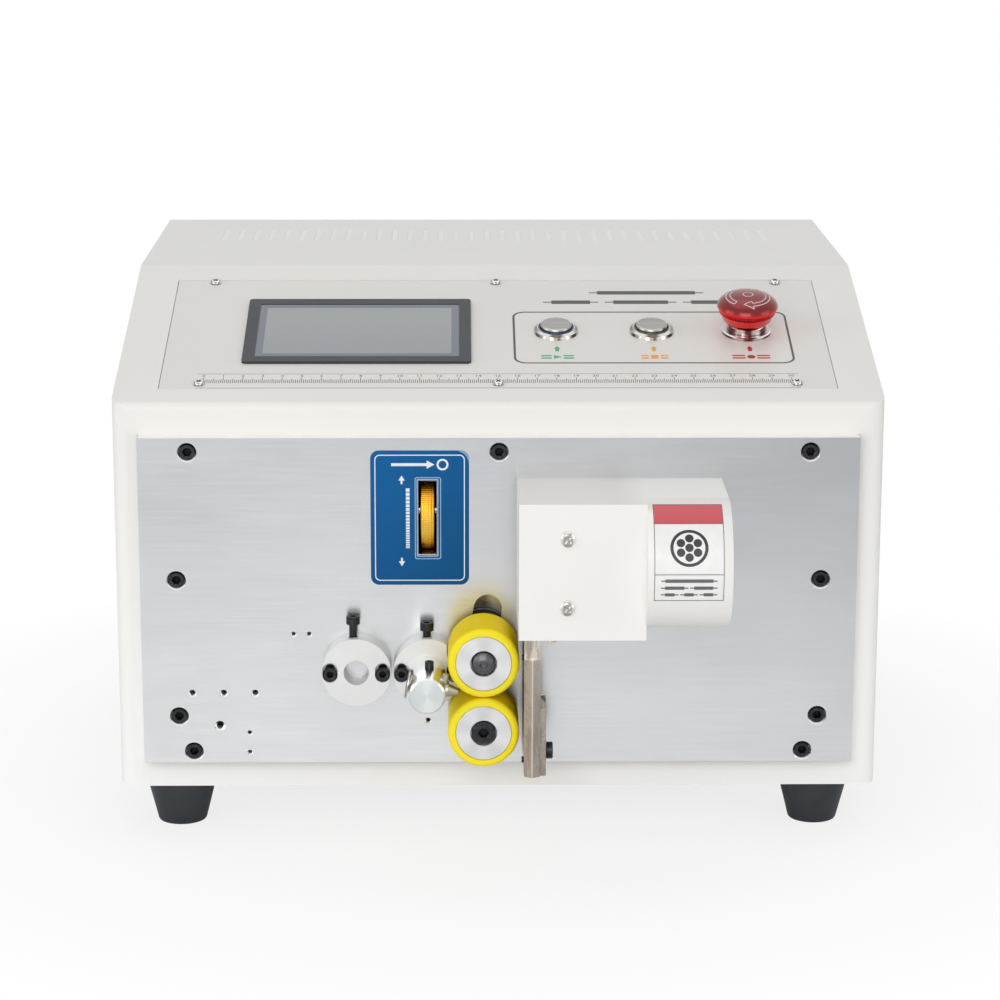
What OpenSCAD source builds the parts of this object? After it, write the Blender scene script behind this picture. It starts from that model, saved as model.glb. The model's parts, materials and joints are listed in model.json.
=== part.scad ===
// Bench-top machine that feeds wire or thin tube between two soft rollers and cuts it to length.
// Millimetres, +Z up, the front faces -Y, the feet stand on Z = 0, centred in X and Y.

/* [Housing] */
// Width of the housing
body_w = 390; // [385:1:400]
// Depth of the housing
body_d = 345; // [335:1:360]
// Height of the upright front face
front_h = 201; // [200:1:206]
// Horizontal depth of the sloping face
slope_d = 166.5; // [165:0.5:172]
// Rise of the sloping face
slope_rise = 44.5; // [42:0.5:48]
// Thickness of the housing sheet
sheet_t = 2; // [1.5:0.5:2]
// Radius of the upright corners
corner_r = 8; // [6:0.5:10]
// Outside radius of the bends in the sheet
bend_r = 4; // [3:0.5:6]
// Number of vent slots in the top
vent_count = 36; // [20:1:36]
// Length of a vent slot
vent_len = 41; // [30:1:50]

/* [Feet] */
// Height of a foot
foot_h = 25; // [20:1:30]
// Radius of a foot where it meets the housing
foot_top_r = 18.7; // [14:0.1:19]
// Radius of a foot where it meets the bench
foot_bottom_r = 12.4; // [10:0.1:14]
// Distance of a foot's centre from the side and the front of the housing
foot_inset = [29.7, 23]; // [20:0.1:40]

/* [Front plate] */
// Width of the front plate
plate_w = 363; // [360:1:366]
// Height of the front plate
plate_h = 170; // [168:1:172]
// Thickness of the front plate
plate_t = 8; // [6:1:10]
// Height of the plate's lower edge above the housing's lower edge
plate_low = 15.2; // [14:0.1:17]
// Radius of the plate screws' heads
plate_head_r = 4; // [3.9:0.05:4.2]

/* [Feed rollers] */
// Distance of the roller axes from the middle of the machine, positive to the right
roller_x = -8; // [-9:0.5:-7]
// Height of the lower roller's axis above the housing's lower edge
lower_axis = 43; // [42:0.5:44]
// Distance between the two roller axes when they are closed
axis_gap = 36; // [36:0.1:36.4]
// Outer radius of the soft tyres
tyre_r = 17.8; // [17:0.1:17.8]
// Radius of the metal hubs
hub_r = 14.1; // [13:0.1:14.5]
// Length of a roller
roller_len = 33; // [30:1:33]
// Distance of the rollers' front faces from the front plate
roller_out = 40; // [38:1:42]
// How far the upper roller lifts
roller_lift = 3; // [2:0.5:3]

/* [Inlet guides] */
// Radius of the round guide bosses
boss_r = 17.5; // [17:0.1:18]
// Thickness of the guide bosses
boss_t = 12; // [10:1:12]
// Radius of the bore in a guide boss
boss_bore_r = 6.4; // [6:0.1:6.5]
// Height of the guide bosses above the housing's lower edge
boss_axis = 66.3; // [66:0.1:67]
// Places of the two guide bosses across the plate
boss_x = [-72.2, -36]; // [-75:0.1:-35]
// Radius of the guide post
post_r = 9; // [8.5:0.1:9]
// Length of the guide post in front of its boss
post_len = 42; // [38:1:44]

/* [Tension wheel] */
// Height of the tension wheel's axle above the housing's lower edge
wheel_axis = 144.2; // [143:0.1:146]
// Radius of the tension wheel
wheel_r = 20.5; // [20:0.1:20.5]
// Width of the tension wheel
wheel_w = 7; // [6:0.5:7]
// Size of the wheel's slot in the front plate
wheel_slot = [9.4, 38]; // [9:0.1:40]

/* [Blade unit] */
// Left side of the blade cover
cover_x = 9; // [8.5:0.5:9.5]
// Width of the flat-fronted part of the cover
box_w = 62.4; // [62:0.1:63]
// Width of the whole cover
cover_w = 103; // [102:0.5:105]
// Lower and upper edge of the flat-fronted part above the housing's lower edge
cover_edges = [96.1, 164.5]; // [96:0.1:166]
// Depth of the flat-fronted part in front of the plate
box_out = 58.2; // [58:0.1:60]
// Radius of the round-fronted part
barrel_r = 32; // [31:0.5:32]
// Distance of the round part's axis from the plate
barrel_out = 44; // [44:0.5:46]
// Sheet thickness of the blade cover
cover_t = 1.5; // [1:0.1:1.5]
// Left face of the lower blade
blade_x = 20; // [20:0.1:20.2]
// Thickness of the lower blade
blade_t = 3; // [2.5:0.1:3]
// Distance of the wire line from the front plate
wire_out = 36; // [35:0.5:36.5]
// Travel of the upper blade
blade_travel = 40; // [30:1:40]

/* [Operating panel] */
// Width of the panel sheet
panel_w = 344.8; // [340:0.2:346]
// Distances of the panel's lower and upper edge up the slope
panel_span = [17.2, 152]; // [16:0.1:154]
// Left, right, lower and upper edge of the display frame
display_box = [-132.2, -13.7, 47, 124.6]; // [-135:0.1:126]
// Places of the two push buttons and the stop button across the panel
button_x = [31.1, 81.5, 131.6]; // [28:0.1:134]
// Distance of the buttons up the slope
button_s = 86.7; // [82:0.1:88]
// Radius of a push button's collar
collar_r = 12; // [11.5:0.1:12.5]
// Travel of a push button
button_travel = 2; // [1:0.5:2]
// Radius of the stop button's head
stop_r = 16; // [15:0.5:17]
// Travel of the stop button
stop_travel = 4; // [3:0.5:4]

/* [Drive] */
// Module of the roller gears
gear_m = 2; // [2:1:2]
// Teeth of each roller gear
gear_z = 18; // [18:1:18]
// Place of the feed motor's axis across the machine and above the housing's lower edge
motor_at = [72, 62]; // [60:1:90]
// Side of the square feed motor
motor_side = 57; // [56:1:58]
// Length of the feed motor
motor_len = 76; // [56:1:90]
// Effective radius of the belt pulleys on the roller shaft and on the motor
pulley_r = [19, 9.5]; // [9:0.5:20]

/* [Rear] */
// Side of the square fan
fan_side = 80; // [80:1:80]
// Place of the fan's axis across the machine and above the housing's lower edge
fan_at = [90, 150]; // [80:1:160]
// Place of the mains inlet
inlet_at = [-120, 60]; // [-130:1:70]

/* [Hidden] */
$fn = 48;
// Cut tools reach this far past a face
eps = 0.5;
// Radial clearance of running fits, and the gap between parts that never touch
running = 0.05;
gap = 0.3;
// Steps in a bend of the sheet
bend_steps = 6;

// Positions derived from the driving dimensions
reach = plate_t + barrel_out + barrel_r;
rear_reach = 6;
front_y = (reach - body_d - rear_reach) / 2;
rear_y = front_y + body_d;
plate_y = front_y - plate_t;
base_z = foot_h;
total_h = front_h + slope_rise;
slope_a = atan2(slope_rise, slope_d);
slope_len = norm([slope_d, slope_rise]);
upper_axis = lower_axis + axis_gap;
slot_low = [roller_x - 0.2, 79.5, 8.25];
slot_high = [roller_x + 2.4, 96.9, 7.1];
sleeve_r = 6.6;
bearing_r = 11;
shaft_r = 5;
window_x = 152;
window_z = [28, 169];
hub_back = roller_out - roller_len;
hub_seat = 4.4;
hub_floor = 6;
hub_screw_r = 3;
hub_screw_len = 16;
gear_back = 24;
gear_w = 8;
belt_from = 46;
belt_w = 10;
belt_t = 1.6;
wheel_y = 9.5;
rack_m = 0.8;
rack_z = 10;
wheel_rack_y = wheel_y - rack_m * rack_z / 2;
pinion_m = 1;
pinion_z = 14;
pinion_r = pinion_m * pinion_z / 2;
pinion_out = 46;
pinion_axis = 118;
pinion_x = [28, 36];
upper_blade_x = blade_x + blade_t + gap;
upper_blade_t = 2.5;
tip_z = 62.8;
rear_tip_z = 60.6;
vee = 5.5;
blade_rest = 89.6;
bar_out = [41, 50];
rail_out = [12, 22];
rail_w = 6;
boss_slot_x = 13.3;
boss_drop = 1.25;
boss_head_r = 3.6;
boss_seat = [7.4, 2.2];
roller_room = 0.7;
clamp_dx = [-1.6, -0.5];
clamp_head_z = [90.5, 87.1];
tube_r = 4;
stud_at = 8;
stud_r = 1.7;
set_screw_r = 2.2;
set_screw_x = boss_x[1] + 1;
row_x = [-156.3, -140.3, -124.3];
row_z = 52;
row_r = 1.65;
pair_x = -127.4;
pair_z = [20.5, 30.9];
pair_r = 1.1;
level_x = [-104.3, -96.4];
level_z = 83.2;
accessory_hole = [-142.5, 34.7, 2.4];
small_hole = [-36, 37.3, 1.25];
hole_edge = 0.35;
head_sink = 5.2;
head_room = 0.25;
head_edge = 0.7;
bar_screw_z = [31, 84];
blade_screw_z = 33;
cover_screw_x = 32.65;
cover_screw_z = [112.7, 147.3];
bracket_t = 1.7;
bracket_x = cover_x + box_w - 1.4;
bracket_span = [106, 157];
motor_x = bracket_x + 3;
ear_x = [-46, -16];
axle_r = 3;
rack_x = [-26, -18];
carriage_w = 36;
frame_z = [window_z[0] + 0.5, 122];
spring_y = 12;
spring_r = 4.6;
spring_span = [93, 108];
display_w = display_box[1] - display_box[0];
display_h = display_box[3] - display_box[2];
display_proud = 1.2;
screen_box = [-125.8, -20, 53.3, 118];
panel_sink = 0.3;
panel_len = panel_span[1] - panel_span[0];
cap_r = 8.3;
stem_r = 5;
stem_top = 11.4;
rocker_lean = 10;
foot_floor = 4;
foot_places = [
    for (x = [foot_inset[0] - body_w / 2, body_w / 2 - foot_inset[0]])
        for (y = [front_y + foot_inset[1], rear_y - foot_inset[1]])
            [x, y]
];
rear_screw_places = concat(
    [for (x = [6.5 - body_w / 2, body_w / 2 - 6.5]) for (z = [30, 125, 220]) [x, z]],
    [[0, 8.5], [0, total_h - 7]]
);
fan_screw_places = [
    for (x = [-35.75, 35.75])
        for (z = [-35.75, 35.75])
            [fan_at[0] + x, fan_at[1] + z]
];
tube_tilt = atan2(boss_axis - lower_axis - axis_gap / 2, roller_x - boss_x[1]);
vent_w = 3;
vent_pitch = 9;
vent_at = [1, 66.5];
plate_screw_places = [
    [0, 177.8], [-156.5, 177.8], [156.5, 177.8], [-163.2, 111.6], [163.2, 111.6],
    [-163.2, 39.8], [163.2, 39.8], [-156, 21], [156, 21]
];
panel_screw_places = [
    for (x = [-152.3, 0, 152.3])
        for (s = [23.5, 148.8])
            [x, s]
];

// Heights measured from the housing's lower edge, distances from the plate and from the front face
function up(h) = base_z + h;
function out(d) = plate_y - d;
function behind(d) = front_y + d;
function unit(v) = v / norm(v);

// Points of an arc of radius r that rounds the corner p between the neighbours a and b
function bend(a, p, b, r) =
    let (
        u = unit(a - p),
        w = unit(b - p),
        half = acos(u * w) / 2,
        c = p + unit(u + w) * r / sin(half),
        s = p + u * r / tan(half) - c,
        e = p + w * r / tan(half) - c,
        from = atan2(s[1], s[0]),
        turn = (atan2(e[1], e[0]) - from + 540) % 360 - 180
    )
    [for (i = [0 : bend_steps])
        let (a = from + turn * i / bend_steps) c + r * [cos(a), sin(a)]];

// Side outline of the housing, t inside its outer face, as distance from the front and height
function slope_corner(t) = [t, front_h + t * tan(slope_a) - t / cos(slope_a)];
function top_corner(t) = [(slope_rise - t + t / cos(slope_a)) / tan(slope_a), total_h - t];
function side_outline(t, low, rear) = concat(
    [[t, low]],
    bend([t, low], slope_corner(t), top_corner(t), bend_r - t * 0.9),
    bend(slope_corner(t), top_corner(t), [rear, total_h - t], bend_r - t * 0.9),
    [[rear, total_h - t], [rear, low]]
);

// Outline of an involute gear of module m and z teeth, one tooth centred on the +X axis
function involute(base, t) = [
    base * (cos(t) + t * PI / 180 * sin(t)),
    base * (sin(t) - t * PI / 180 * cos(t))
];
function roll_at(base, r) = sqrt(max(r * r / (base * base) - 1, 0)) * 180 / PI;
function turned(p, a) = [p[0] * cos(a) - p[1] * sin(a), p[0] * sin(a) + p[1] * cos(a)];
function gear_flank(m, z, play) =
    let (
        pitch = m * z / 2,
        base = pitch * cos(20),
        root = pitch - 1.25 * m,
        start = max(base, root + 0.05),
        at_pitch = roll_at(base, pitch) - atan(roll_at(base, pitch) * PI / 180),
        half = 90 / z - play / pitch * 90 / PI + at_pitch
    )
    concat(
        [turned([root, 0], -half)],
        [for (i = [0 : 4])
            turned(involute(base, roll_at(base, start + (pitch + m - start) * i / 4)), -half)]
    );
function gear_points(m, z, play) =
    let (f = gear_flank(m, z, play))
    [for (k = [0 : z - 1])
        for (p = concat(f, [for (i = [len(f) - 1 : -1 : 0]) [f[i][0], -f[i][1]]]))
            turned(p, k * 360 / z)];

// Straight rack teeth along +Y from 0, pointing to +X, with the pitch line on X = 0
function rack_points(m, count, play, back) = concat(
    [[-back, 0], [-1.25 * m, 0]],
    [for (k = [0 : count - 1])
        let (c = (k + 0.5) * PI * m, q = PI * m / 4 - play / 2)
        for (p = [
            [-1.25 * m, c - q - 1.25 * m * tan(20)],
            [m, c - q + m * tan(20)],
            [m, c + q - m * tan(20)],
            [-1.25 * m, c + q + 1.25 * m * tan(20)]
        ]) p],
    [[-1.25 * m, count * PI * m], [-back, count * PI * m]]
);

// A 2-D outline in X and Z, extruded from y0 back to y1
module along_y(y0, y1) {
    translate([0, y1, 0])
        rotate([90, 0, 0])
            linear_extrude(y1 - y0)
                children();
}

// A 2-D outline in Y and Z, extruded from x0 to x1
module along_x(x0, x1) {
    translate([x0, 0, 0])
        rotate([90, 0, 90])
            linear_extrude(x1 - x0)
                children();
}

// A box between two opposite corners
module block(a, b) {
    translate([min(a[0], b[0]), min(a[1], b[1]), min(a[2], b[2])])
        cube([abs(b[0] - a[0]), abs(b[1] - a[1]), abs(b[2] - a[2])]);
}

// A round bar along Y between y0 and y1
module bar_y(x, z, y0, y1, r) {
    translate([x, y1, z])
        rotate([90, 0, 0])
            cylinder(h = y1 - y0, r = r);
}

// A round bar along X between x0 and x1
module bar_x(x0, x1, y, z, r) {
    translate([x0, y, z])
        rotate([0, 90, 0])
            cylinder(h = x1 - x0, r = r);
}

// A solid of revolution about the local Z axis, from points of radius and height
module spun(points) {
    rotate_extrude()
        polygon(points);
}

// The same about the axis along Y at x, z, from points of radius and Y
module lathe_y(x, z, points) {
    translate([x, 0, z])
        rotate([90, 0, 0])
            spun([for (p = points) [p[0], -p[1]]]);
}

// A 2-D rectangle with round corners, centred
module round_rect(w, h, r) {
    square([w - 2 * r, h], center = true);
    square([w, h - 2 * r], center = true);
    for (sx = [-1, 1])
        for (sy = [-1, 1])
            translate([sx * (w / 2 - r), sy * (h / 2 - r)])
                circle(r);
}

// A 2-D slot with round ends between two points one above the other
module upright_slot(x, z0, z1, r) {
    translate([x - r, z0])
        square([2 * r, z1 - z0]);
    translate([x, z0])
        circle(r);
    translate([x, z1])
        circle(r);
}

// A 2-D slot that tapers between two circles, each given as X, Z and radius
module tapered_slot(low, high) {
    overlap = 0.03;
    along = atan2(high[1] - low[1], high[0] - low[0]);
    lean = acos((low[2] - high[2]) / norm([high[0] - low[0], high[1] - low[1]]));
    for (c = [low, high])
        translate([c[0], c[1]])
            circle(c[2]);
    polygon([for (q = [[low, 1], [high, 1], [high, -1], [low, -1]])
        let (c = q[0], r = c[2] - overlap, a = along + q[1] * lean)
            [c[0] + r * cos(a), c[1] + r * sin(a)]]);
}

// The sloping face: local X across, Y up the slope, Z outward, from its lower edge
module on_slope(x = 0, s = 0) {
    translate([x, front_y + s * cos(slope_a), up(front_h) + s * sin(slope_a)])
        rotate([slope_a, 0, 0])
            children();
}

// A socket screw pointing into the part along -Z: head from 0 up, shank from 0 down
module socket_screw(head_r, head_h, shank_r, shank_len, key_r) {
    difference() {
        spun([
            [0, -shank_len], [shank_r, -shank_len], [shank_r, 0], [head_r, 0],
            [head_r, head_h - head_r * 0.09], [head_r * 0.91, head_h], [0, head_h]
        ]);
        translate([0, 0, head_h * 0.45])
            cylinder(h = head_h, r = key_r, $fn = 6);
        // Conical mouth of the key hole
        translate([0, 0, head_h - key_r * 0.15])
            cylinder(h = key_r, r1 = key_r * 0.9, r2 = key_r * 1.9);
    }
}

// A cross-recessed pan head screw pointing along -Z
module pan_screw(head_r, head_h, shank_r, shank_len) {
    difference() {
        spun([
            [0, -shank_len], [shank_r, -shank_len], [shank_r, 0], [head_r, 0],
            [head_r, head_h * 0.4], [head_r * 0.88, head_h * 0.78], [head_r * 0.6, head_h], [0, head_h]
        ]);
        for (a = [45, 135])
            rotate(a)
                translate([-head_r * 0.55, -head_r * 0.13, head_h * 0.35])
                    cube([head_r * 1.1, head_r * 0.26, head_h]);
    }
}

// Plan of the housing, t inside its outer face: round corners in front, square ones behind
module housing_plan(t) {
    translate([0, front_y + body_d / 2])
        round_rect(body_w - 2 * t, body_d - 2 * t, corner_r - t);
    translate([t - body_w / 2, front_y + body_d / 2])
        square([body_w - 2 * t, body_d / 2 - t]);
}

// The housing filled solid, t inside its outer face, from low up and back to rear
module housing_body(t, low, rear) {
    intersection() {
        along_x(-body_w / 2, body_w / 2)
            translate([front_y, base_z])
                polygon(side_outline(t, low, rear));
        translate([0, 0, base_z])
            linear_extrude(total_h)
                housing_plan(t);
    }
}

// Bent sheet housing: front frame, sloping face, top and sides, open below and behind
module housing_shell() {
    lip = 12;
    half_w = body_w / 2;
    color("#eeede8")
        difference() {
            housing_body(0, 0, body_d);
            housing_body(sheet_t, sheet_t * 2, body_d - sheet_t * 2);
            // Seat of the base plate, and the opening inside its lips
            intersection() {
                block([-half_w, front_y, base_z - eps], [half_w, rear_y - sheet_t * 2, base_z + sheet_t]);
                translate([0, 0, base_z - eps])
                    linear_extrude(lip)
                        housing_plan(sheet_t);
            }
            block([lip - half_w, front_y + lip, base_z], [half_w - lip, rear_y - lip, base_z + lip]);
            // Seat of the rear cover, and the opening inside its lips
            block([sheet_t - half_w, rear_y - sheet_t, base_z + sheet_t * 2],
                [half_w - sheet_t, rear_y + eps, up(total_h) - sheet_t]);
            block([lip - half_w, rear_y - lip, base_z + lip],
                [half_w - lip, rear_y + eps, up(total_h) - lip]);
            // Front window and the threads of the plate and cover screws
            block([-window_x, front_y - eps, up(window_z[0])],
                [window_x, front_y + sheet_t + eps, up(window_z[1])]);
            for (p = plate_screw_places)
                bar_y(p[0], up(p[1]), front_y - eps, front_y + sheet_t + eps, 2.5);
            for (p = rear_screw_places)
                bar_y(p[0], up(p[1]), rear_y - sheet_t * 2 - eps, rear_y, 1.5);
            // Opening of the panel
            on_slope()
                translate([-panel_w / 2 - gap, panel_span[0] - gap, -sheet_t - eps])
                    cube([panel_w + 2 * gap, panel_len + 2 * gap, sheet_t + 2 * eps]);
            // Vent slots across the rear of the top
            for (i = [0 : vent_count - 1])
                translate([vent_at[0] + (i - vent_count / 2) * vent_pitch, rear_y - vent_at[1], up(total_h)])
                    translate([(vent_pitch - vent_w) / 2, -vent_len / 2, -sheet_t - eps])
                        cube([vent_w, vent_len, sheet_t + 2 * eps]);
        }
    panel_ledge();
}

// Ledge under the slope's opening that carries the panel sheet
module panel_ledge() {
    color("#eeede8")
        on_slope()
            difference() {
                translate([-panel_w / 2 - 8, panel_span[0] - 8, -sheet_t * 2])
                    cube([panel_w + 16, panel_len + 16, sheet_t]);
                translate([-panel_w / 2 + 8, panel_span[0] + 12, -sheet_t * 2 - eps])
                    cube([panel_w - 16, panel_len - 20, sheet_t + 2 * eps]);
                for (p = panel_screw_places)
                    translate([p[0], p[1], -sheet_t * 3])
                        cylinder(h = sheet_t * 3, r = 1.5);
            }
}

// Loose tray that closes the housing from below
module base_plate() {
    color("#d8d7d2")
        difference() {
            translate([0, 0, base_z])
                linear_extrude(sheet_t)
                    intersection() {
                        housing_plan(sheet_t);
                        translate([-body_w / 2, front_y])
                            square([body_w, body_d - sheet_t * 2]);
                    }
            for (p = foot_places)
                translate([p[0], p[1], base_z - eps])
                    cylinder(h = sheet_t + 2 * eps, r = 2);
        }
}

// Flat rear cover with the fan opening and the inlet cut-out
module rear_cover() {
    color("#e4e3de")
        difference() {
            block([-body_w / 2 + sheet_t, rear_y - sheet_t, base_z + sheet_t * 2],
                [body_w / 2 - sheet_t, rear_y, up(total_h) - sheet_t]);
            bar_y(fan_at[0], up(fan_at[1]), rear_y - sheet_t - eps, rear_y + eps, fan_side / 2 - 2);
            block([inlet_at[0] - 22, rear_y - sheet_t - eps, up(inlet_at[1]) - 29],
                [inlet_at[0] + 22, rear_y + eps, up(inlet_at[1]) + 29]);
            for (p = concat(rear_screw_places, fan_screw_places))
                bar_y(p[0], up(p[1]), rear_y - sheet_t - eps, rear_y + eps, 1.5);
        }
}

// Screws of the rear cover and the fan, and those inside the feet
module case_screws() {
    color("silver") {
        for (p = rear_screw_places)
            translate([p[0], rear_y, up(p[1])])
                rotate([-90, 0, 0])
                    pan_screw(3, 2, 1.5, sheet_t * 2 + 2);
        for (p = fan_screw_places)
            translate([p[0], rear_y + 2, up(p[1])])
                rotate([-90, 0, 0])
                    pan_screw(3, 2, 1.5, 10);
        for (p = foot_places)
            translate([p[0], p[1], base_z - foot_floor])
                rotate([180, 0, 0])
                    pan_screw(3.6, 2.4, 2, foot_floor + sheet_t);
    }
}

// Four tapered rubber feet, each with a deep pocket for its screw
module feet() {
    color("#3b3f44")
        for (p = foot_places)
            translate([p[0], p[1], 0])
                difference() {
                    cylinder(h = foot_h, r1 = foot_bottom_r, r2 = foot_top_r);
                    translate([0, 0, -eps])
                        cylinder(h = foot_h - foot_floor + eps, r = 5);
                    cylinder(h = foot_h + eps, r = 2);
                }
}

// A hole through the front plate
module plate_hole(x, z, r) {
    bar_y(x, up(z), plate_y - eps, front_y + eps, r);
}

// Broken front edge of such a hole
module plate_edge(x, z, r, edge) {
    translate([x, plate_y - eps, up(z)])
        rotate([-90, 0, 0])
            cylinder(h = edge + eps, r1 = r + edge + eps, r2 = r);
}

module plate_bore(x, z, r) {
    plate_hole(x, z, r);
    plate_edge(x, z, r, hole_edge);
}

// Thick brushed front plate with every bore that the front parts and the accessories use
module front_plate() {
    color("#c9cbcd")
        difference() {
            along_y(plate_y, front_y)
                translate([0, up(plate_low) + plate_h / 2])
                    square([plate_w, plate_h], center = true);
            for (p = plate_screw_places) {
                plate_hole(p[0], p[1], 2.75);
                bar_y(p[0], up(p[1]), plate_y - eps, plate_y + head_sink, plate_head_r + head_room);
                plate_edge(p[0], p[1], plate_head_r + head_room, head_edge);
            }
            // Window of the tension wheel and slot of the upper roller's shaft
            along_y(plate_y - eps, front_y + eps)
                translate([0, base_z]) {
                    translate([boss_x[1], wheel_axis])
                        square(wheel_slot, center = true);
                    tapered_slot(slot_low, slot_high);
                }
            // Seat of the lower roller's bearing
            plate_hole(roller_x, lower_axis, bearing_r);
            // Threads of the guide bosses
            for (x = boss_x)
                for (side = [-1, 1])
                    plate_hole(x + side * boss_slot_x, boss_axis - boss_drop, 2);
            // Spare holes for accessories
            for (x = row_x)
                plate_bore(x, row_z, row_r);
            for (h = [accessory_hole, small_hole])
                plate_bore(h[0], h[1], h[2]);
            for (z = pair_z)
                plate_bore(pair_x, z, pair_r);
            for (x = level_x)
                plate_bore(x, level_z, pair_r);
        }
}

// Nine socket screws sunk in the front plate
module plate_screws() {
    color("#1c1d1f")
        for (p = plate_screw_places)
            translate([p[0], plate_y + head_sink, up(p[1])])
                rotate([90, 0, 0])
                    socket_screw(plate_head_r, 5, 2.5, plate_t - head_sink + sheet_t + 4, 2.3);
}

// Sloping panel sheet with its cut-outs
module panel_plate() {
    color("#e2e1dc")
        on_slope()
            difference() {
                translate([-panel_w / 2, panel_span[0], -sheet_t])
                    cube([panel_w, panel_len, sheet_t - panel_sink]);
                translate([display_box[0] + 4, display_box[2] + 4, -sheet_t - eps])
                    cube([display_w - 8, display_h - 8, sheet_t + 2 * eps]);
                for (i = [0 : 2])
                    translate([button_x[i], button_s, -sheet_t - eps])
                        cylinder(h = sheet_t + 2 * eps, r = i < 2 ? 9.5 : 11);
                for (p = panel_screw_places)
                    translate([p[0], p[1], -sheet_t - eps])
                        cylinder(h = sheet_t + 2 * eps, r = 1.5);
            }
}

// Six small cross-head screws of the panel
module panel_screws() {
    color("silver")
        for (p = panel_screw_places)
            on_slope(p[0], p[1])
                translate([0, 0, -panel_sink])
                    pan_screw(3, 1.8, 1.5, sheet_t * 2 + 1);
}

// Touch display: front frame with a sunk window and the case behind the panel
module display_module() {
    color("#2c2e31")
        on_slope()
            difference() {
                union() {
                    translate([display_box[0] + display_w / 2, display_box[2] + display_h / 2, -panel_sink])
                        linear_extrude(display_proud + panel_sink)
                            round_rect(display_w, display_h, 2);
                    translate([display_box[0] + 4, display_box[2] + 4, -30])
                        cube([display_w - 8, display_h - 8, 30]);
                }
                translate([screen_box[0], screen_box[2], display_proud - 0.8])
                    cube([screen_box[1] - screen_box[0], screen_box[3] - screen_box[2], 1]);
                // Vents and connector recess in the back of the case
                for (i = [0 : 7])
                    translate([display_box[0] + 16 + i * 12, display_box[2] + 16, -31])
                        cube([4, display_h - 32, 3]);
            }
}

module display_glass() {
    color("#7d8288")
        on_slope()
            translate([screen_box[0], screen_box[2], display_proud - 0.8])
                cube([screen_box[1] - screen_box[0], screen_box[3] - screen_box[2], 0.5]);
}

// Steel collars and bodies of the two push buttons
module push_switches() {
    color("#b9bbbd")
        for (i = [0, 1])
            on_slope(button_x[i], button_s)
                spun([
                    [cap_r + gap, -14], [cap_r + gap, 2.2], [10, 2.2], [11.4, 1.2],
                    [collar_r, -panel_sink], [9.5, -panel_sink], [9.5, -26], [0, -26], [0, -14]
                ]);
}

// Chromed collar of the stop button and the contact block under it
module stop_base() {
    color("#c4c6c8")
        on_slope(button_x[2], button_s)
            difference() {
                union() {
                    spun([
                        [0, -10], [11, -10], [11, -panel_sink], [13.1, -panel_sink], [13.1, 0.9],
                        [12.4, 1.4], [10.2, 1.4], [10.2, 4.4], [9.8, 4.9], [0, 4.9]
                    ]);
                    translate([-15, -15, -42])
                        cube([30, 30, 32]);
                }
                translate([0, 0, -26])
                    cylinder(h = 40, r = stem_r + gap);
            }
}

// Distance of a boss screw's seat from the plate, deeper for the screw beside the upper roller
function seat_out(i, side) = boss_seat[i == 1 && side == 1 ? 1 : 0];

// One round boss with a through bore, two counterbored upright slots and a clamp thread
module round_boss(i) {
    x = boss_x[i];
    low = up(boss_axis - boss_drop);
    difference() {
        bar_y(x, up(boss_axis), out(boss_t), plate_y, boss_r);
        bar_y(x, up(boss_axis), out(boss_t) - eps, plate_y + eps, boss_bore_r);
        for (side = [-1, 1]) {
            along_y(out(boss_t) - eps, plate_y + eps)
                upright_slot(x + side * boss_slot_x, low, low + 2 * boss_drop, 2.3);
            along_y(out(boss_t) - eps, out(seat_out(i, side)))
                upright_slot(x + side * boss_slot_x, low, low + 2 * boss_drop, boss_head_r + 0.25);
        }
        translate([x + clamp_dx[i], out(boss_t / 2), up(boss_axis)])
            cylinder(h = boss_r + eps, r = 2);
    }
}

module guide_bosses() {
    color("#dcdddd") {
        round_boss(0);
        difference() {
            round_boss(1);
            // Room for the upper roller
            bar_y(roller_x, up(upper_axis), out(boss_t) - eps, out(hub_back - roller_room),
                tyre_r + roller_room);
        }
    }
}

// Two socket screws in the slots of each boss
module boss_screws() {
    low = up(boss_axis) - boss_drop;
    color("#1c1d1f")
        for (i = [0, 1])
            for (side = [-1, 1])
                translate([boss_x[i] + side * boss_slot_x, out(seat_out(i, side)), low])
                    rotate([90, 0, 0])
                        socket_screw(boss_head_r, 4, 2, seat_out(i, side) + plate_t, 1.8);
}

// Clamp screws on top of the bosses, and the headless one in the guide post
module clamp_screws() {
    color("#1c1d1f") {
        for (i = [0, 1])
            translate([boss_x[i] + clamp_dx[i], out(boss_t / 2), up(clamp_head_z[i])])
                socket_screw(3.5, 4, 2, clamp_head_z[i] - boss_axis - boss_bore_r - gap, 1.6);
        translate([set_screw_x, out(wire_out), up(boss_axis)])
            difference() {
                translate([0, 0, tube_r + gap])
                    cylinder(h = post_r + 4 - tube_r - gap, r = set_screw_r);
                translate([0, 0, post_r + 1.6])
                    cylinder(h = 4, r = 1.15, $fn = 6);
            }
    }
}

// Frame of the wire tube: on the post's axis, X along the tube towards the rollers
module tube_frame() {
    translate([boss_x[1], out(wire_out), up(boss_axis)])
        rotate([0, tube_tilt, 0])
            children();
}

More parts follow.
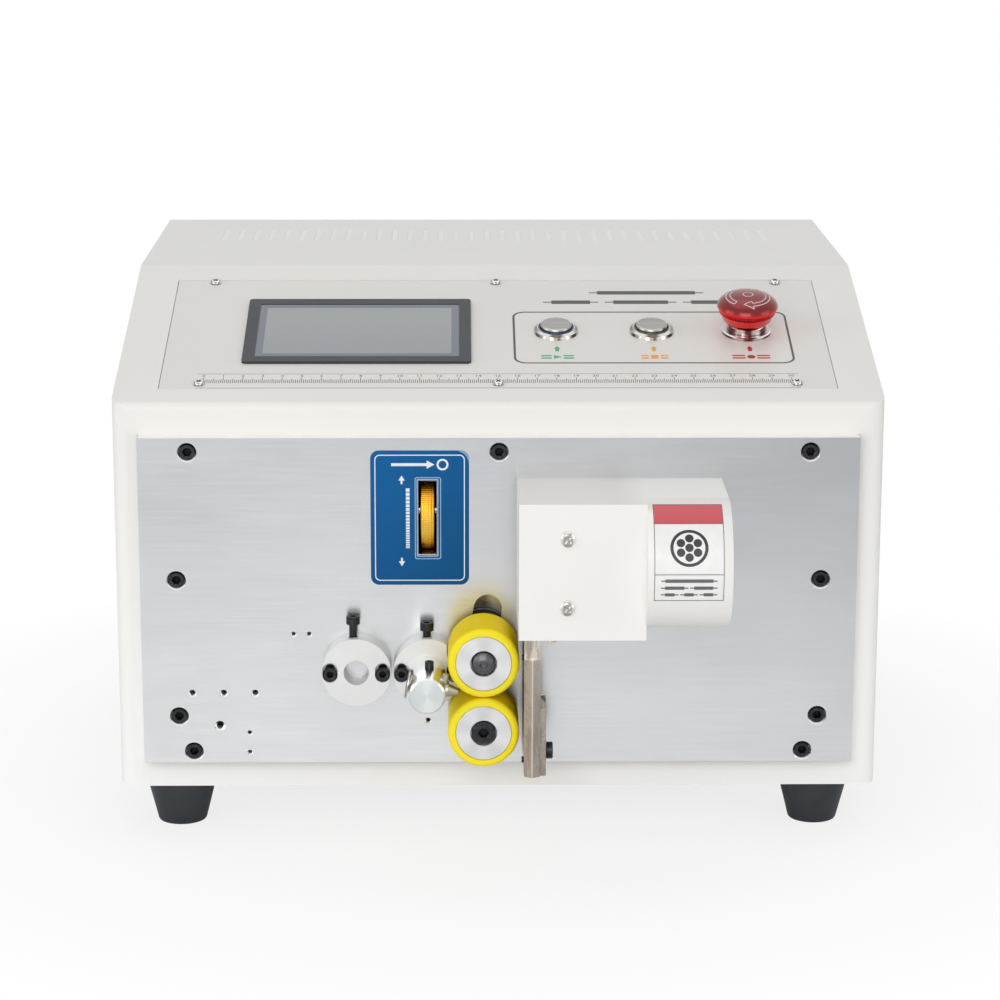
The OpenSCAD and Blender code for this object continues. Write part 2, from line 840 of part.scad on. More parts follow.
// Round post that stands in the second boss and holds the wire tube across it
module guide_post() {
    color("#dfe6e6")
        difference() {
            lathe_y(boss_x[1], up(boss_axis), [
                [0, out(0.5)], [boss_bore_r, out(0.5)], [boss_bore_r, out(boss_t)], [post_r, out(boss_t)],
                [post_r, out(boss_t + post_len) + 0.8], [post_r - 0.8, out(boss_t + post_len)],
                [0, out(boss_t + post_len)]
            ]);
            tube_frame() {
                translate([-post_r - 2, 0, 0])
                    rotate([0, 90, 0])
                        cylinder(h = 2 * post_r + 4, r = tube_r);
                translate([stud_at, 0, 0])
                    cylinder(h = post_r, r = stud_r);
            }
            translate([set_screw_x, out(wire_out), up(boss_axis)])
                cylinder(h = post_r + 2, r = set_screw_r);
        }
}

// Wire tube: trumpet mouth on the left, pointed nozzle and an upright stud on the right
module wire_tube() {
    color("#a99a86")
        tube_frame() {
            rotate([0, 90, 0])
                spun([
                    [1.7, -8.4], [6.7, -10.2], [7.5, -10.4], [7.5, -9.7], [tube_r, -9.1], [tube_r, 9.2],
                    [4.4, 9.2], [4.4, 10], [3.4, 10], [2, 15.4], [1.3, 15.4], [1.7, 9]
                ]);
            translate([stud_at, 0, 2.5])
                cylinder(h = 5.5, r = stud_r);
        }
}

// Upright web that carries the blade rail, with the wire's window behind the guide bar
module blade_frame() {
    color("#8f9295") {
        along_x(blade_x - 8, blade_x)
            difference() {
                translate([out(bar_out[0]), up(24)])
                    square([bar_out[0], 136]);
                translate([out(bar_out[0]) - eps, up(54)])
                    square([7 + eps, 20]);
                translate([out(bar_out[0] - 7), up(64)])
                    circle(10);
                for (hole = [[18, 84], [16, 40]])
                    translate([out(hole[0]), up(hole[1])])
                        circle(7);
                translate([out(wire_out), up(blade_screw_z)])
                    circle(2.5);
            }
        block([blade_x, out(rail_out[1]), up(98)], [blade_x + rail_w, out(rail_out[0]), up(162)]);
    }
}

// Bar in front of the web: a ridged lower part and a plain upper part that runs into the cover
module guide_bar() {
    left = blade_x - 8;
    shoulder = out(bar_out[1] - 2.6);
    color("#a39685")
        difference() {
            union() {
                translate([0, 0, up(22.8)])
                    linear_extrude(60.6)
                        polygon([
                            [left, out(bar_out[0])], [left, shoulder], [left + 3.9, out(bar_out[1])],
                            [blade_x, shoulder], [blade_x, out(bar_out[0])]
                        ]);
                block([left, out(47), up(83)], [blade_x, out(bar_out[0]), up(130)]);
            }
            for (z = bar_screw_z)
                bar_x(left - eps, left + 4, out(45), up(z), 1);
        }
}

// One sloping cut that thins the lower blade towards its edge, in front of or behind the wire line
module blade_bevel(side) {
    mirror([0, side, 0])
        rotate([45, 0, 0])
            rotate([0, -42, 0])
                translate([-6, -12, 0])
                    cube([6, 30, 24]);
}

// Fixed blade: a plate with a sharpened V that the wire passes over
module lower_blade() {
    front = out(bar_out[0] + 4);
    rear = out(wire_out - vee - 2);
    color("#b4ab9d")
        difference() {
            along_x(blade_x, blade_x + blade_t)
                polygon([
                    [front, up(22.5)], [front, up(57.3)], [front + 2, up(57.3)], [front + 2, up(tip_z)],
                    [out(wire_out + vee), up(tip_z)], [out(wire_out), up(tip_z - vee)],
                    [out(wire_out - vee) - (tip_z - rear_tip_z), up(rear_tip_z)], [rear, up(rear_tip_z)],
                    [rear, up(22.5)]
                ]);
            // Slanting end of the front prong
            along_y(front - eps, out(wire_out))
                polygon([
                    [blade_x, up(tip_z)], [blade_x + blade_t, up(tip_z - 5)],
                    [blade_x + blade_t + eps, up(tip_z + 1)], [blade_x, up(tip_z + 1)]
                ]);
            bar_x(blade_x - eps, blade_x + blade_t + eps, out(wire_out), up(blade_screw_z), 2.5);
            translate([blade_x + blade_t, out(wire_out), up(tip_z - vee)])
                intersection() {
                    blade_bevel(0);
                    blade_bevel(1);
                }
        }
}

// Blade screw on the right, and two small screws on the left of the guide bar
module blade_screws() {
    color("#1c1d1f") {
        translate([blade_x + blade_t, out(wire_out), up(blade_screw_z)])
            rotate([0, 90, 0])
                socket_screw(4.25, 3.6, 2.5, blade_t + 8, 2);
        for (z = bar_screw_z)
            translate([blade_x - 8, out(45), up(z)])
                rotate([0, -90, 0])
                    socket_screw(1.6, 1.2, 1, 4, 0.8);
    }
}

// Side outline of the round part of the cover, t inside its outer face
module barrel_outline(t) {
    translate([out(barrel_out), up(cover_edges[1] - barrel_r)])
        circle(barrel_r - t);
    translate([out(barrel_out), up(cover_edges[1] - 2 * barrel_r) + t])
        square([barrel_out + (t > 0 ? eps : 0), 2 * (barrel_r - t)]);
}

// Sheet cover over the blade drive: a flat-fronted box that runs into a round-fronted end
module blade_cover() {
    split = cover_x + box_w;
    color("#efeeea")
        difference() {
            union() {
                block([cover_x, out(box_out), up(cover_edges[0])], [split, plate_y, up(cover_edges[1])]);
                along_x(split - eps, cover_x + cover_w)
                    barrel_outline(0);
            }
            block([cover_x + cover_t, out(box_out - cover_t), up(cover_edges[0]) - eps],
                [split - cover_t, plate_y + eps, up(cover_edges[1]) - cover_t]);
            along_x(split + cover_t, cover_x + cover_w - cover_t)
                barrel_outline(cover_t);
            intersection() {
                along_x(split - 2 * cover_t, split + 2 * cover_t)
                    barrel_outline(cover_t);
                block([cover_x, out(box_out - cover_t), up(cover_edges[0])],
                    [cover_x + cover_w, plate_y + eps, up(cover_edges[1])]);
            }
            for (z = cover_screw_z)
                bar_y(cover_screw_x, up(z), out(box_out) - eps, out(box_out - cover_t) + eps, 2);
        }
}

module cover_screws() {
    color("silver")
        for (z = cover_screw_z)
            translate([cover_screw_x, out(box_out), up(z)])
                rotate([90, 0, 0])
                    pan_screw(3.9, 2.6, 2, cover_t + bracket_t);
}

// Folded bracket: foot on the plate, web for the blade motor, front flange for the cover
module motor_bracket() {
    low = up(bracket_span[0]);
    high = up(bracket_span[1]);
    face = out(box_out - cover_t);
    color("#9b9ea1")
        difference() {
            union() {
                block([bracket_x - 20, out(2), low], [bracket_x, plate_y, high]);
                block([bracket_x, face, low], [motor_x, plate_y, high]);
                block([26, face, low], [bracket_x, face + bracket_t, high]);
            }
            bar_x(bracket_x - eps, motor_x + eps, out(pinion_out), up(pinion_axis), 6);
            for (z = cover_screw_z)
                bar_y(cover_screw_x, up(z), face - eps, face + bracket_t + eps, 2);
        }
}

// Flat geared motor with its shaft bore off centre
module blade_motor() {
    centre = up(pinion_axis + 10);
    color("#5a5d61")
        difference() {
            union() {
                bar_x(motor_x, motor_x + 14, out(pinion_out), centre, 22);
                bar_x(motor_x + 14, motor_x + 36, out(pinion_out), centre, 20);
            }
            bar_x(motor_x - eps, motor_x + 20, out(pinion_out), up(pinion_axis), 3 + running);
        }
}

// Cast frame behind the plate: window of the roller carriage and rear bearing of the lower shaft
module roller_frame() {
    color("#b2b5b8")
        difference() {
            along_y(front_y, behind(20))
                difference() {
                    translate([roller_x - 30, up(frame_z[0])])
                        square([60, frame_z[1] - frame_z[0]]);
                    translate([roller_x - carriage_w / 2 - 0.1, up(62)])
                        square([carriage_w + 0.2, spring_span[1] - 62]);
                }
            bar_y(roller_x, up(lower_axis), front_y - eps, behind(12), bearing_r - 2);
            bar_y(roller_x, up(lower_axis), behind(12) - eps, behind(20) + eps, bearing_r);
            // Way of the rack bar past the bridge
            block([rack_x[0] - 1, front_y - eps, up(107)], [rack_x[1] + 1, behind(6), up(123)]);
        }
}

// A ball bearing drawn as one ring with a groove on both faces
module bearing(x, z, y0, y1) {
    lathe_y(x, z, [
        [shaft_r + running, y0], [shaft_r + 1.8, y0], [shaft_r + 1.8, y0 + 0.6], [bearing_r - 1.8, y0 + 0.6],
        [bearing_r - 1.8, y0], [bearing_r, y0], [bearing_r, y1], [bearing_r - 1.8, y1],
        [bearing_r - 1.8, y1 - 0.6], [shaft_r + 1.8, y1 - 0.6], [shaft_r + 1.8, y1], [shaft_r + running, y1]
    ]);
}

module shaft_bearings() {
    color("#c9ccd0") {
        bearing(roller_x, up(lower_axis), plate_y + 0.8, front_y);
        bearing(roller_x, up(lower_axis), behind(12), behind(20));
    }
}

module carriage_bearings() {
    color("#c9ccd0") {
        bearing(roller_x, up(upper_axis), behind(1.2), behind(8));
        bearing(roller_x, up(upper_axis), behind(12), behind(19.6));
    }
}

// Two ears behind the plate that hold the tension wheel's axle
module wheel_bracket() {
    low = up(wheel_axis) - 10;
    color("#b2b5b8")
        difference() {
            union() {
                for (x = ear_x)
                    block([x, front_y, low], [x + 3, behind(16), low + 20]);
                for (x = [ear_x[0] - 9, ear_x[1] + 3 - eps])
                    block([x, front_y, low], [x + 9 + eps, behind(2.5), low + 20]);
            }
            bar_x(ear_x[0] - eps, ear_x[1] + 3 + eps, behind(wheel_y), up(wheel_axis), axle_r + running);
        }
}

// Square stepping motor with the four grooves along its corners
module feed_motor() {
    color("#2e3033")
        difference() {
            union() {
                along_y(behind(66), behind(66 + motor_len))
                    translate([motor_at[0], up(motor_at[1])])
                        difference() {
                            square(motor_side, center = true);
                            for (a = [0 : 90 : 270])
                                rotate(a)
                                    translate([motor_side / 2 + 1, motor_side / 2 + 1])
                                        circle(6);
                        }
                for (y = [behind(66), behind(58 + motor_len)])
                    along_y(y, y + 8)
                        translate([motor_at[0], up(motor_at[1])])
                            round_rect(motor_side, motor_side, 4);
                bar_y(motor_at[0], up(motor_at[1]), behind(64.4), behind(66) + eps, 19);
            }
            bar_y(motor_at[0], up(motor_at[1]), behind(60), behind(88), 3.15 + running);
        }
}

// Angle bracket that stands the feed motor on the base plate
module feed_bracket() {
    half = motor_side / 2 + 4;
    color("#9b9ea1")
        difference() {
            union() {
                block([motor_at[0] - half, behind(62), base_z + sheet_t],
                    [motor_at[0] + half, behind(66), up(motor_at[1]) + half]);
                block([motor_at[0] - half, behind(62), base_z + sheet_t],
                    [motor_at[0] + half, behind(110), base_z + sheet_t + 4]);
            }
            bar_y(motor_at[0], up(motor_at[1]), behind(61), behind(67), 19);
        }
}

// Points of a taut loop round two circles, r1 at p1 and r2 at p2
function loop_points(p1, r1, p2, r2) =
    let (
        along = atan2(p2[1] - p1[1], p2[0] - p1[0]),
        lean = acos((r1 - r2) / norm(p2 - p1)),
        steps = 24
    )
    concat(
        [for (i = [0 : steps])
            let (a = along + lean + (360 - 2 * lean) * i / steps) p1 + r1 * [cos(a), sin(a)]],
        [for (i = [0 : steps])
            let (a = along - lean + 2 * lean * i / steps) p2 + r2 * [cos(a), sin(a)]]
    );

module timing_belt() {
    p1 = [roller_x, up(lower_axis)];
    p2 = [motor_at[0], up(motor_at[1])];
    color("#222426")
        along_y(behind(belt_from), behind(belt_from + belt_w))
            difference() {
                polygon(loop_points(p1, pulley_r[0] + gap + belt_t, p2, pulley_r[1] + gap + belt_t));
                polygon(loop_points(p1, pulley_r[0] + gap, p2, pulley_r[1] + gap));
            }
}

// Points of a flanged pulley from its bore radius outwards, in radius and Y
function pulley_points(bore, r) = [
    [bore, behind(belt_from - 1.8)], [r + 2.4, behind(belt_from - 1.8)], [r + 2.4, behind(belt_from - 0.6)],
    [r, behind(belt_from - 0.6)], [r, behind(belt_from + belt_w + 0.6)],
    [r + 2.4, behind(belt_from + belt_w + 0.6)], [r + 2.4, behind(belt_from + belt_w + 1.8)],
    [bore, behind(belt_from + belt_w + 1.8)]
];

// Control board on four pillars, with its drivers, terminals and capacitors
module controller_board() {
    x0 = -175;
    y0 = behind(130);
    z0 = base_z + sheet_t;
    color("#1f6b45")
        difference() {
            translate([x0, y0, z0 + 8])
                cube([140, 110, 1.6]);
            for (x = [6, 134])
                for (y = [6, 104])
                    translate([x0 + x, y0 + y, z0])
                        cylinder(h = 20, r = 1.6);
        }
    color("silver")
        for (x = [6, 134])
            for (y = [6, 104])
                translate([x0 + x, y0 + y, z0])
                    cylinder(h = 8, r = 3);
    color("#303236") {
        for (i = [0, 1])
            for (k = [0 : 6])
                translate([x0 + 20 + i * 50 + k * 5, y0 + 60, z0 + 9.6])
                    cube([2, 34, 18]);
        for (i = [0, 1])
            translate([x0 + 20 + i * 50, y0 + 60, z0 + 9.6])
                cube([32, 34, 4]);
        translate([x0 + 60, y0 + 24, z0 + 9.6])
            cube([20, 20, 2]);
    }
    color("#2f8f5a")
        for (i = [0 : 3])
            translate([x0 + 16 + i * 28, y0 + 2, z0 + 9.6])
                cube([22, 9, 11]);
    color("#39424d")
        for (i = [0 : 2])
            translate([x0 + 125, y0 + 40 + i * 18, z0 + 9.6])
                cylinder(h = 24, r = 7);
}

// Slotted metal case of the power supply with its terminal strip
module power_supply() {
    x0 = 20;
    y0 = behind(205);
    z0 = base_z + sheet_t;
    color("#a7aaad")
        difference() {
            translate([x0, y0, z0])
                cube([98, 100, 38]);
            translate([x0 + 1.5, y0 - eps, z0 + 12])
                cube([95, 14, 30]);
            for (i = [0 : 9])
                translate([x0 + 12 + i * 7.6, y0 + 30, z0 + 36])
                    cube([3.5, 54, 3]);
        }
    color("#202225")
        for (i = [0 : 8])
            translate([x0 + 8 + i * 9.3, y0 + 1, z0 + 12])
                cube([8, 11, 10]);
}

// Square fan frame with its round duct, four struts and the fixed pin
module fan_frame() {
    y1 = rear_y - sheet_t;
    color("#26282b")
        translate([fan_at[0], 0, up(fan_at[1])]) {
            along_y(y1 - 25, y1)
                difference() {
                    round_rect(fan_side, fan_side, 5);
                    circle(fan_side / 2 - 2);
                    for (sx = [-1, 1])
                        for (sz = [-1, 1])
                            translate([sx * 35.75, sz * 35.75])
                                circle(1.5);
                }
            along_y(y1 - 4, y1) {
                circle(14);
                for (a = [45 : 90 : 315])
                    rotate(a)
                        translate([10, -2])
                            square([29, 4]);
            }
            translate([0, y1 - 4, 0])
                rotate([90, 0, 0])
                    cylinder(h = 14, r = 1.5);
        }
}

// Fan wheel: a cup hub with seven slanted blades trimmed to a round sweep
module fan_rotor() {
    y1 = rear_y - sheet_t - 4.6;
    color("#303338")
        translate([fan_at[0], y1, up(fan_at[1])])
            rotate([90, 0, 0])
                difference() {
                    union() {
                        cylinder(h = 18, r = 16);
                        intersection() {
                            for (a = [0 : 360 / 7 : 359])
                                rotate(a)
                                    translate([14, 0, 9])
                                        rotate([38, 0, 0])
                                            translate([0, -1, -14])
                                                cube([26, 2, 28]);
                            translate([0, 0, 1])
                                cylinder(h = 16, r = 36.5);
                        }
                    }
                    translate([0, 0, -eps])
                        cylinder(h = 14.5, r = 1.5 + running);
                }
}

// Wire finger guard over the fan opening, standing on four eyes
module fan_guard() {
    eye = 35.75 * sqrt(2);
    color("#c8cacc")
        translate([fan_at[0], rear_y, up(fan_at[1])])
            rotate([-90, 0, 0]) {
                for (r = [9, 17, 25, 33])
                    translate([0, 0, rear_reach - 1])
                        rotate_extrude()
                            translate([r, 0])
                                circle(1, $fn = 16);
                for (a = [45, 135])
                    rotate(a)
                        translate([-eye + 3, 0, rear_reach - 2])
                            rotate([0, 90, 0])
                                cylinder(h = 2 * eye - 6, r = 1);
                for (a = [45 : 90 : 315])
                    rotate(a) {
                        translate([eye - 3, 0, 0])
                            cylinder(h = rear_reach - 2, r = 1);
                        translate([eye, 0, 0])
                            difference() {
                                cylinder(h = 2, r = 3.4);
                                translate([0, 0, -eps])
                                    cylinder(h = 3, r = 1.5);
                            }
                    }
            }
}

// Mains inlet and switch opening in one flanged body, with the three blades of the inlet
module mains_inlet() {
    deep = rear_y - 14;
    face = rear_y + 2.5;
    color("#1d1e20")
        translate([inlet_at[0], 0, up(inlet_at[1])]) {
            difference() {
                union() {
                    along_y(rear_y, face)
                        round_rect(50, 66, 3);
                    block([-22, rear_y - 30, -29], [22, rear_y + eps, 29]);
                }
                along_y(deep, face + eps)
                    polygon([[-12, -25], [12, -25], [12, -13], [8, -9], [-8, -9], [-12, -13]]);
                block([-10.4, rear_y - 16, 1], [10.4, face + eps, 27]);
                bar_x(-12, 12, rear_y - 3, 14, 1.5 + running);
            }
        }
    color("#c9a45a")
        translate([inlet_at[0], 0, up(inlet_at[1])])
            for (p = [[-7, -19], [0, -14], [7, -19]])
                block([p[0] - 1, deep, p[1] - 2], [p[0] + 1, deep + 9, p[1] + 2]);
}

// Rocker with a shallow V face, on two pivot pins
module power_rocker() {
    color("#b3261e")
        translate([inlet_at[0], rear_y - 3, up(inlet_at[1]) + 14]) {
            along_x(-10, 10)
                rotate(rocker_lean)
                    intersection() {
                        circle(12);
                        polygon([[-8, -13], [7, -13], [4.6, 0], [7, 13], [-8, 13]]);
                    }
            bar_x(-11.8, 11.8, 0, 0, 1.5);
        }
}

// Turned hub of a roller with the seat of its bolt sunk in the front face
module hub(z) {
    face = out(roller_out);
    lathe_y(roller_x, z, [
        [shaft_r, out(hub_back)], [hub_r, out(hub_back)], [hub_r, face + 0.5], [hub_r - 0.5, face],
        [6.75, face], [6.35, face + 0.4], [6.35, face + hub_seat], [hub_screw_r, face + hub_seat],
        [hub_screw_r, face + hub_floor], [shaft_r, face + hub_floor]
    ]);
}

// Soft tyre with rounded edges
module tyre(z) {
    face = out(roller_out);
    back = out(hub_back);
    lathe_y(roller_x, z, [
        [hub_r, back], [tyre_r - 2, back], [tyre_r - 1.1, back - 0.3], [tyre_r - 0.4, back - 1],
        [tyre_r, back - 2.1], [tyre_r, face + 2.2], [tyre_r - 0.4, face + 1.1], [tyre_r - 1.1, face + 0.4],
        [tyre_r - 2, face + 0.1], [hub_r, face + 0.1]
    ]);
}

// Place of a hub's bolt, pointing out of the front face
module at_hub(z) {
    translate([roller_x, out(roller_out) + hub_seat, z])
        rotate([90, 0, 0])
            children();
}

// Stepped shaft of a roller: threaded end, shoulder behind the hub, plain journals
module roller_shaft(z, shoulder_r, shoulder_end, y1) {
    tip = out(roller_out) + hub_floor;
    end = tip + hub_screw_len;
    lathe_y(roller_x, z, [
        [0, end], [hub_screw_r, end], [hub_screw_r, tip], [shaft_r, tip], [shaft_r, out(hub_back)],
        [shoulder_r, out(hub_back)], [shoulder_r, shoulder_end], [shaft_r, shoulder_end],
        [shaft_r, y1 - 0.8], [shaft_r - 0.8, y1], [0, y1]
    ]);
}

// Involute gear of the rollers on the axis at height z, turned by a
module roller_gear(z, a) {
    along_y(behind(gear_back), behind(gear_back + gear_w))
        translate([roller_x, z])
            difference() {
                rotate(a)
                    polygon(gear_points(gear_m, gear_z, 0.25));
                circle(shaft_r - 0.5);
            }
}

module lower_hub() {
    color("#cfd1d3")
        hub(up(lower_axis));
}

module lower_tyre() {
    color("#eadf22")
        tyre(up(lower_axis));
}

module lower_bolt() {
    color("#1c1d1f")
        at_hub(up(lower_axis))
            socket_screw(6, 4.6, hub_screw_r, hub_screw_len, 2.6);
}

module lower_shaft() {
    color("#9da0a4") {
        roller_shaft(up(lower_axis), 7.5, plate_y - 0.6, behind(60));
        roller_gear(up(lower_axis), 90);
        lathe_y(roller_x, up(lower_axis), pulley_points(shaft_r - 0.5, pulley_r[0]));
    }
}

module motor_pulley() {
    color("#b4b7ba")
        lathe_y(motor_at[0], up(motor_at[1]), concat(
            [[0, behind(belt_from - 1.8)]],
            pulley_points(3.15, pulley_r[1]),
            [[3.15, behind(84)], [0, behind(84)]]
        ));
}

module upper_hub() {
    color("#cfd1d3")
        hub(up(upper_axis));
}

module upper_tyre() {
    color("#eadf22")
        tyre(up(upper_axis));
}

// Round-headed bolt of the upper hub
module upper_bolt() {
    color("#3a3b3e")
        at_hub(up(upper_axis))
            difference() {
                spun([
                    [0, -hub_screw_len], [hub_screw_r, -hub_screw_len], [hub_screw_r, 0], [6, 0], [6, 3],
                    [5.6, 4], [4.8, 4.9], [3.7, 5.5], [2.4, 5.8], [0, 5.9]
                ]);
                translate([0, 0, 3])
                    cylinder(h = 4, r = 2.3, $fn = 6);
            }
}

module upper_shaft() {
    color("#9da0a4") {
        roller_shaft(up(upper_axis), sleeve_r, behind(0.6), behind(36));
        roller_gear(up(upper_axis), 90 + 180 / gear_z);
    }
}

// Sliding block of the upper roller, with the rack bar that reaches the tension wheel
module roller_carriage() {
    pitch = PI * rack_m;
    rack_low = wheel_axis - 6 * pitch;
    color("#a9acaf")
        difference() {
            union() {
                block([roller_x - carriage_w / 2, behind(0.4), up(62.6)],
                    [roller_x + carriage_w / 2, behind(19.6), up(102.2)]);
                block([rack_x[0], behind(0.8), up(96)], [rack_x[1], behind(4.5), up(rack_low) + eps]);
                along_x(rack_x[0], rack_x[1])
                    translate([behind(wheel_rack_y), up(rack_low)])
                        polygon(rack_points(rack_m, 9, 0.15, wheel_rack_y - 0.8));
            }
            bar_y(roller_x, up(upper_axis), behind(0), behind(8), bearing_r);
            bar_y(roller_x, up(upper_axis), behind(8) - eps, behind(12) + eps, bearing_r - 2);
            bar_y(roller_x, up(upper_axis), behind(12), behind(20), bearing_r);
            translate([roller_x, behind(spring_y), up(spring_span[0])])
                cylinder(h = 12, r = spring_r + 1);
        }
}

// Coil spring between the carriage and the bridge of the frame, swept along a helix
module pressure_spring() {
    steps = 12;
    sides = 8;
    wire = 0.6;
    rings = 54;
    rise = spring_span[1] - spring_span[0] - 2 * wire - gap;
    points = [for (i = [0 : rings])
        for (k = [0 : sides - 1])
            let (a = i * 360 / steps, b = k * 360 / sides, r = spring_r + wire * cos(b))
            [r * cos(a), r * sin(a), rise * i / rings + wire * sin(b)]];
    skin = [for (i = [0 : rings - 1])
        for (k = [0 : sides - 1])
            let (a = i * sides + k, b = i * sides + (k + 1) % sides)
            for (f = [[a, b, b + sides], [a, b + sides, a + sides]]) f];
    ends = [[for (k = [sides - 1 : -1 : 0]) k], [for (k = [0 : sides - 1]) rings * sides + k]];
    color("#777a7e")
        translate([roller_x, behind(spring_y), up(spring_span[0]) + gap + wire])
            polyhedron(points, concat(skin, ends), convexity = 8);
}

// Narrow wheel with raised rims and a toothed band between them, bored for its axle
module tension_wheel() {
    half = wheel_w / 2;
    color("#d9941f")
        translate([boss_x[1], behind(wheel_y), up(wheel_axis)])
            rotate([0, 90, 0])
                difference() {
                    union() {
                        for (side = [-1, 1])
                            scale([1, 1, side])
                                spun([
                                    [0, 0], [wheel_r - 0.6, 0], [wheel_r - 0.6, half - 1.3],
                                    [wheel_r, half - 1.3], [wheel_r, half - 0.8], [wheel_r - 0.8, half],
                                    [wheel_r - 3, half], [wheel_r - 3.6, half - 0.8],
                                    [8, half - 0.8], [7.4, half], [0, half]
                                ]);
                        translate([0, 0, 1.3 - half])
                            linear_extrude(wheel_w - 2.6)
                                polygon([for (k = [0 : 119])
                                    (wheel_r - 0.2 - 0.3 * (k % 2)) * [cos(k * 3), sin(k * 3)]]);
                    }
                    translate([0, 0, -half - eps])
                        cylinder(h = wheel_w + 2 * eps, r = axle_r);
                }
}

// Axle of the tension wheel with its small pinion
module wheel_axle() {
    color("#9da0a4") {
        bar_x(ear_x[0], ear_x[1] + 3, behind(wheel_y), up(wheel_axis), axle_r);
        along_x(rack_x[0] + 0.6, rack_x[1] - 0.6)
            translate([behind(wheel_y), up(wheel_axis)])
                difference() {
                    rotate(180)
                        polygon(gear_points(rack_m, rack_z, 0.15));
                    circle(axle_r - 0.3);
                }
    }
}

// Outline of the moving blade and its holder: a V that opens downwards, from low up to high
function blade_outline(low, high, wide) = [
    [out(wire_out + wide), high], [out(wire_out + wide), low], [out(wire_out + vee), low],
    [out(wire_out), low + vee], [out(wire_out - vee), low], [out(wire_out - wide), low],
    [out(wire_out - wide), high]
];

// Slider of the upper blade: shoe on the rail, blade holder, and the rack that the motor drives
module blade_carriage() {
    holder_x = upper_blade_x + upper_blade_t;
    pitch = PI * pinion_m;
    color("#a39c92") {
        difference() {
            block([blade_x + 0.4, out(32), up(137)], [pinion_x[1], out(6), up(160)]);
            block([blade_x - eps, out(rail_out[1]) - 0.1, up(136)],
                [blade_x + rail_w + 0.1, out(rail_out[0]) + 0.1, up(161)]);
        }
        along_x(holder_x, pinion_x[0])
            polygon(blade_outline(up(blade_rest + 1.2), up(160), vee + 1));
        along_x(pinion_x[0] - 0.5, pinion_x[1])
            translate([out(pinion_out - pinion_r), up(pinion_axis - pitch)])
                mirror([1, 0])
                    polygon(rack_points(pinion_m, 14, 0.2, 9));
    }
}

// Moving blade beside the fixed one
module upper_blade() {
    color("#b4ab9d")
        along_x(upper_blade_x, upper_blade_x + upper_blade_t)
            polygon(blade_outline(up(blade_rest), up(blade_rest + 24), vee + 1));
}

// Motor shaft with the pinion that drives the blade rack
module blade_pinion() {
    color("#9da0a4") {
        bar_x(pinion_x[0] + 0.4, motor_x + 18, out(pinion_out), up(pinion_axis), 3);
        along_x(pinion_x[0] + 0.4, pinion_x[1] - 0.4)
            translate([out(pinion_out), up(pinion_axis)])
                difference() {
                    polygon(gear_points(pinion_m, pinion_z, 0.2));
                    circle(2.7);
                }
    }
}

// Raised cap of a push button, with a softened rim
module button_cap(x) {
    on_slope(x, button_s)
        spun([[0, -9], [cap_r, -9], [cap_r, 3.3], [cap_r - 0.3, 3.9], [cap_r - 1, 4.2], [0, 4.2]]);
}

module start_button() {
    color("#aeb0b2")
        button_cap(button_x[0]);
}

module stop_button() {
    color("#aeb0b2")
        button_cap(button_x[1]);
}

// Plunger of the stop button
module stop_stem() {
    color("#8c1118")
        on_slope(button_x[2], button_s)
            translate([0, 0, -18])
                cylinder(h = 18 + stem_top, r = stem_r);
}

// Mushroom head that turns on the plunger, with a grooved cone under its lip
module stop_head() {
    color("#b5121f")
        on_slope(button_x[2], button_s)
            difference() {
                spun([
                    [0, stem_top + 0.2], [stem_r + running, stem_top + 0.2], [stem_r + running, 9.3],
                    [11.3, 9.3], [11.3, 6.8], [12.4, 6.8], [12.7, 7.1], [13.3, 9.3],
                    [stop_r - 0.5, 12.2], [stop_r, 12.8], [stop_r, 13.3], [stop_r - 0.3, 14.4],
                    [stop_r - 0.9, 15.6], [stop_r - 1.9, 16.9], [stop_r - 3.2, 17.9],
                    [stop_r - 5.2, 18.8], [stop_r - 8, 19.5], [stop_r - 12, 19.9], [0, 20]
                ]);
                for (a = [0 : 5 : 355])
                    rotate(a)
                        translate([13.5, 0, 9.4])
                            rotate([0, 37, 0])
                                cylinder(h = 3.8, r = 0.4, $fn = 4);
            }
}

housing_shell();
base_plate();
rear_cover();
case_screws();
feet();
front_plate();
plate_screws();
panel_plate();
panel_screws();
display_module();
display_glass();
push_switches();
stop_base();
guide_bosses();
boss_screws();
clamp_screws();
guide_post();
wire_tube();
blade_frame();
guide_bar();
lower_blade();
blade_screws();
blade_cover();
cover_screws();
motor_bracket();
blade_motor();
roller_frame();
shaft_bearings();
wheel_bracket();
feed_motor();
feed_bracket();
timing_belt();
controller_board();
power_supply();
fan_frame();
fan_guard();
mains_inlet();
lower_hub();
lower_tyre();
lower_bolt();
lower_shaft();
motor_pulley();
upper_hub();
upper_tyre();
upper_bolt();
upper_shaft();
carriage_bearings();
roller_carriage();
pressure_spring();
tension_wheel();
wheel_axle();
blade_carriage();
upper_blade();
blade_pinion();
start_button();
stop_button();
stop_stem();
stop_head();
fan_rotor();
power_rocker();
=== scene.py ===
"""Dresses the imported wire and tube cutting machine: finishes, printing, light and camera.

Places on a face are given in millimetres, places in the scene in metres.
"""

import json
import math

import bmesh
import bpy
from mathutils import Matrix, Vector

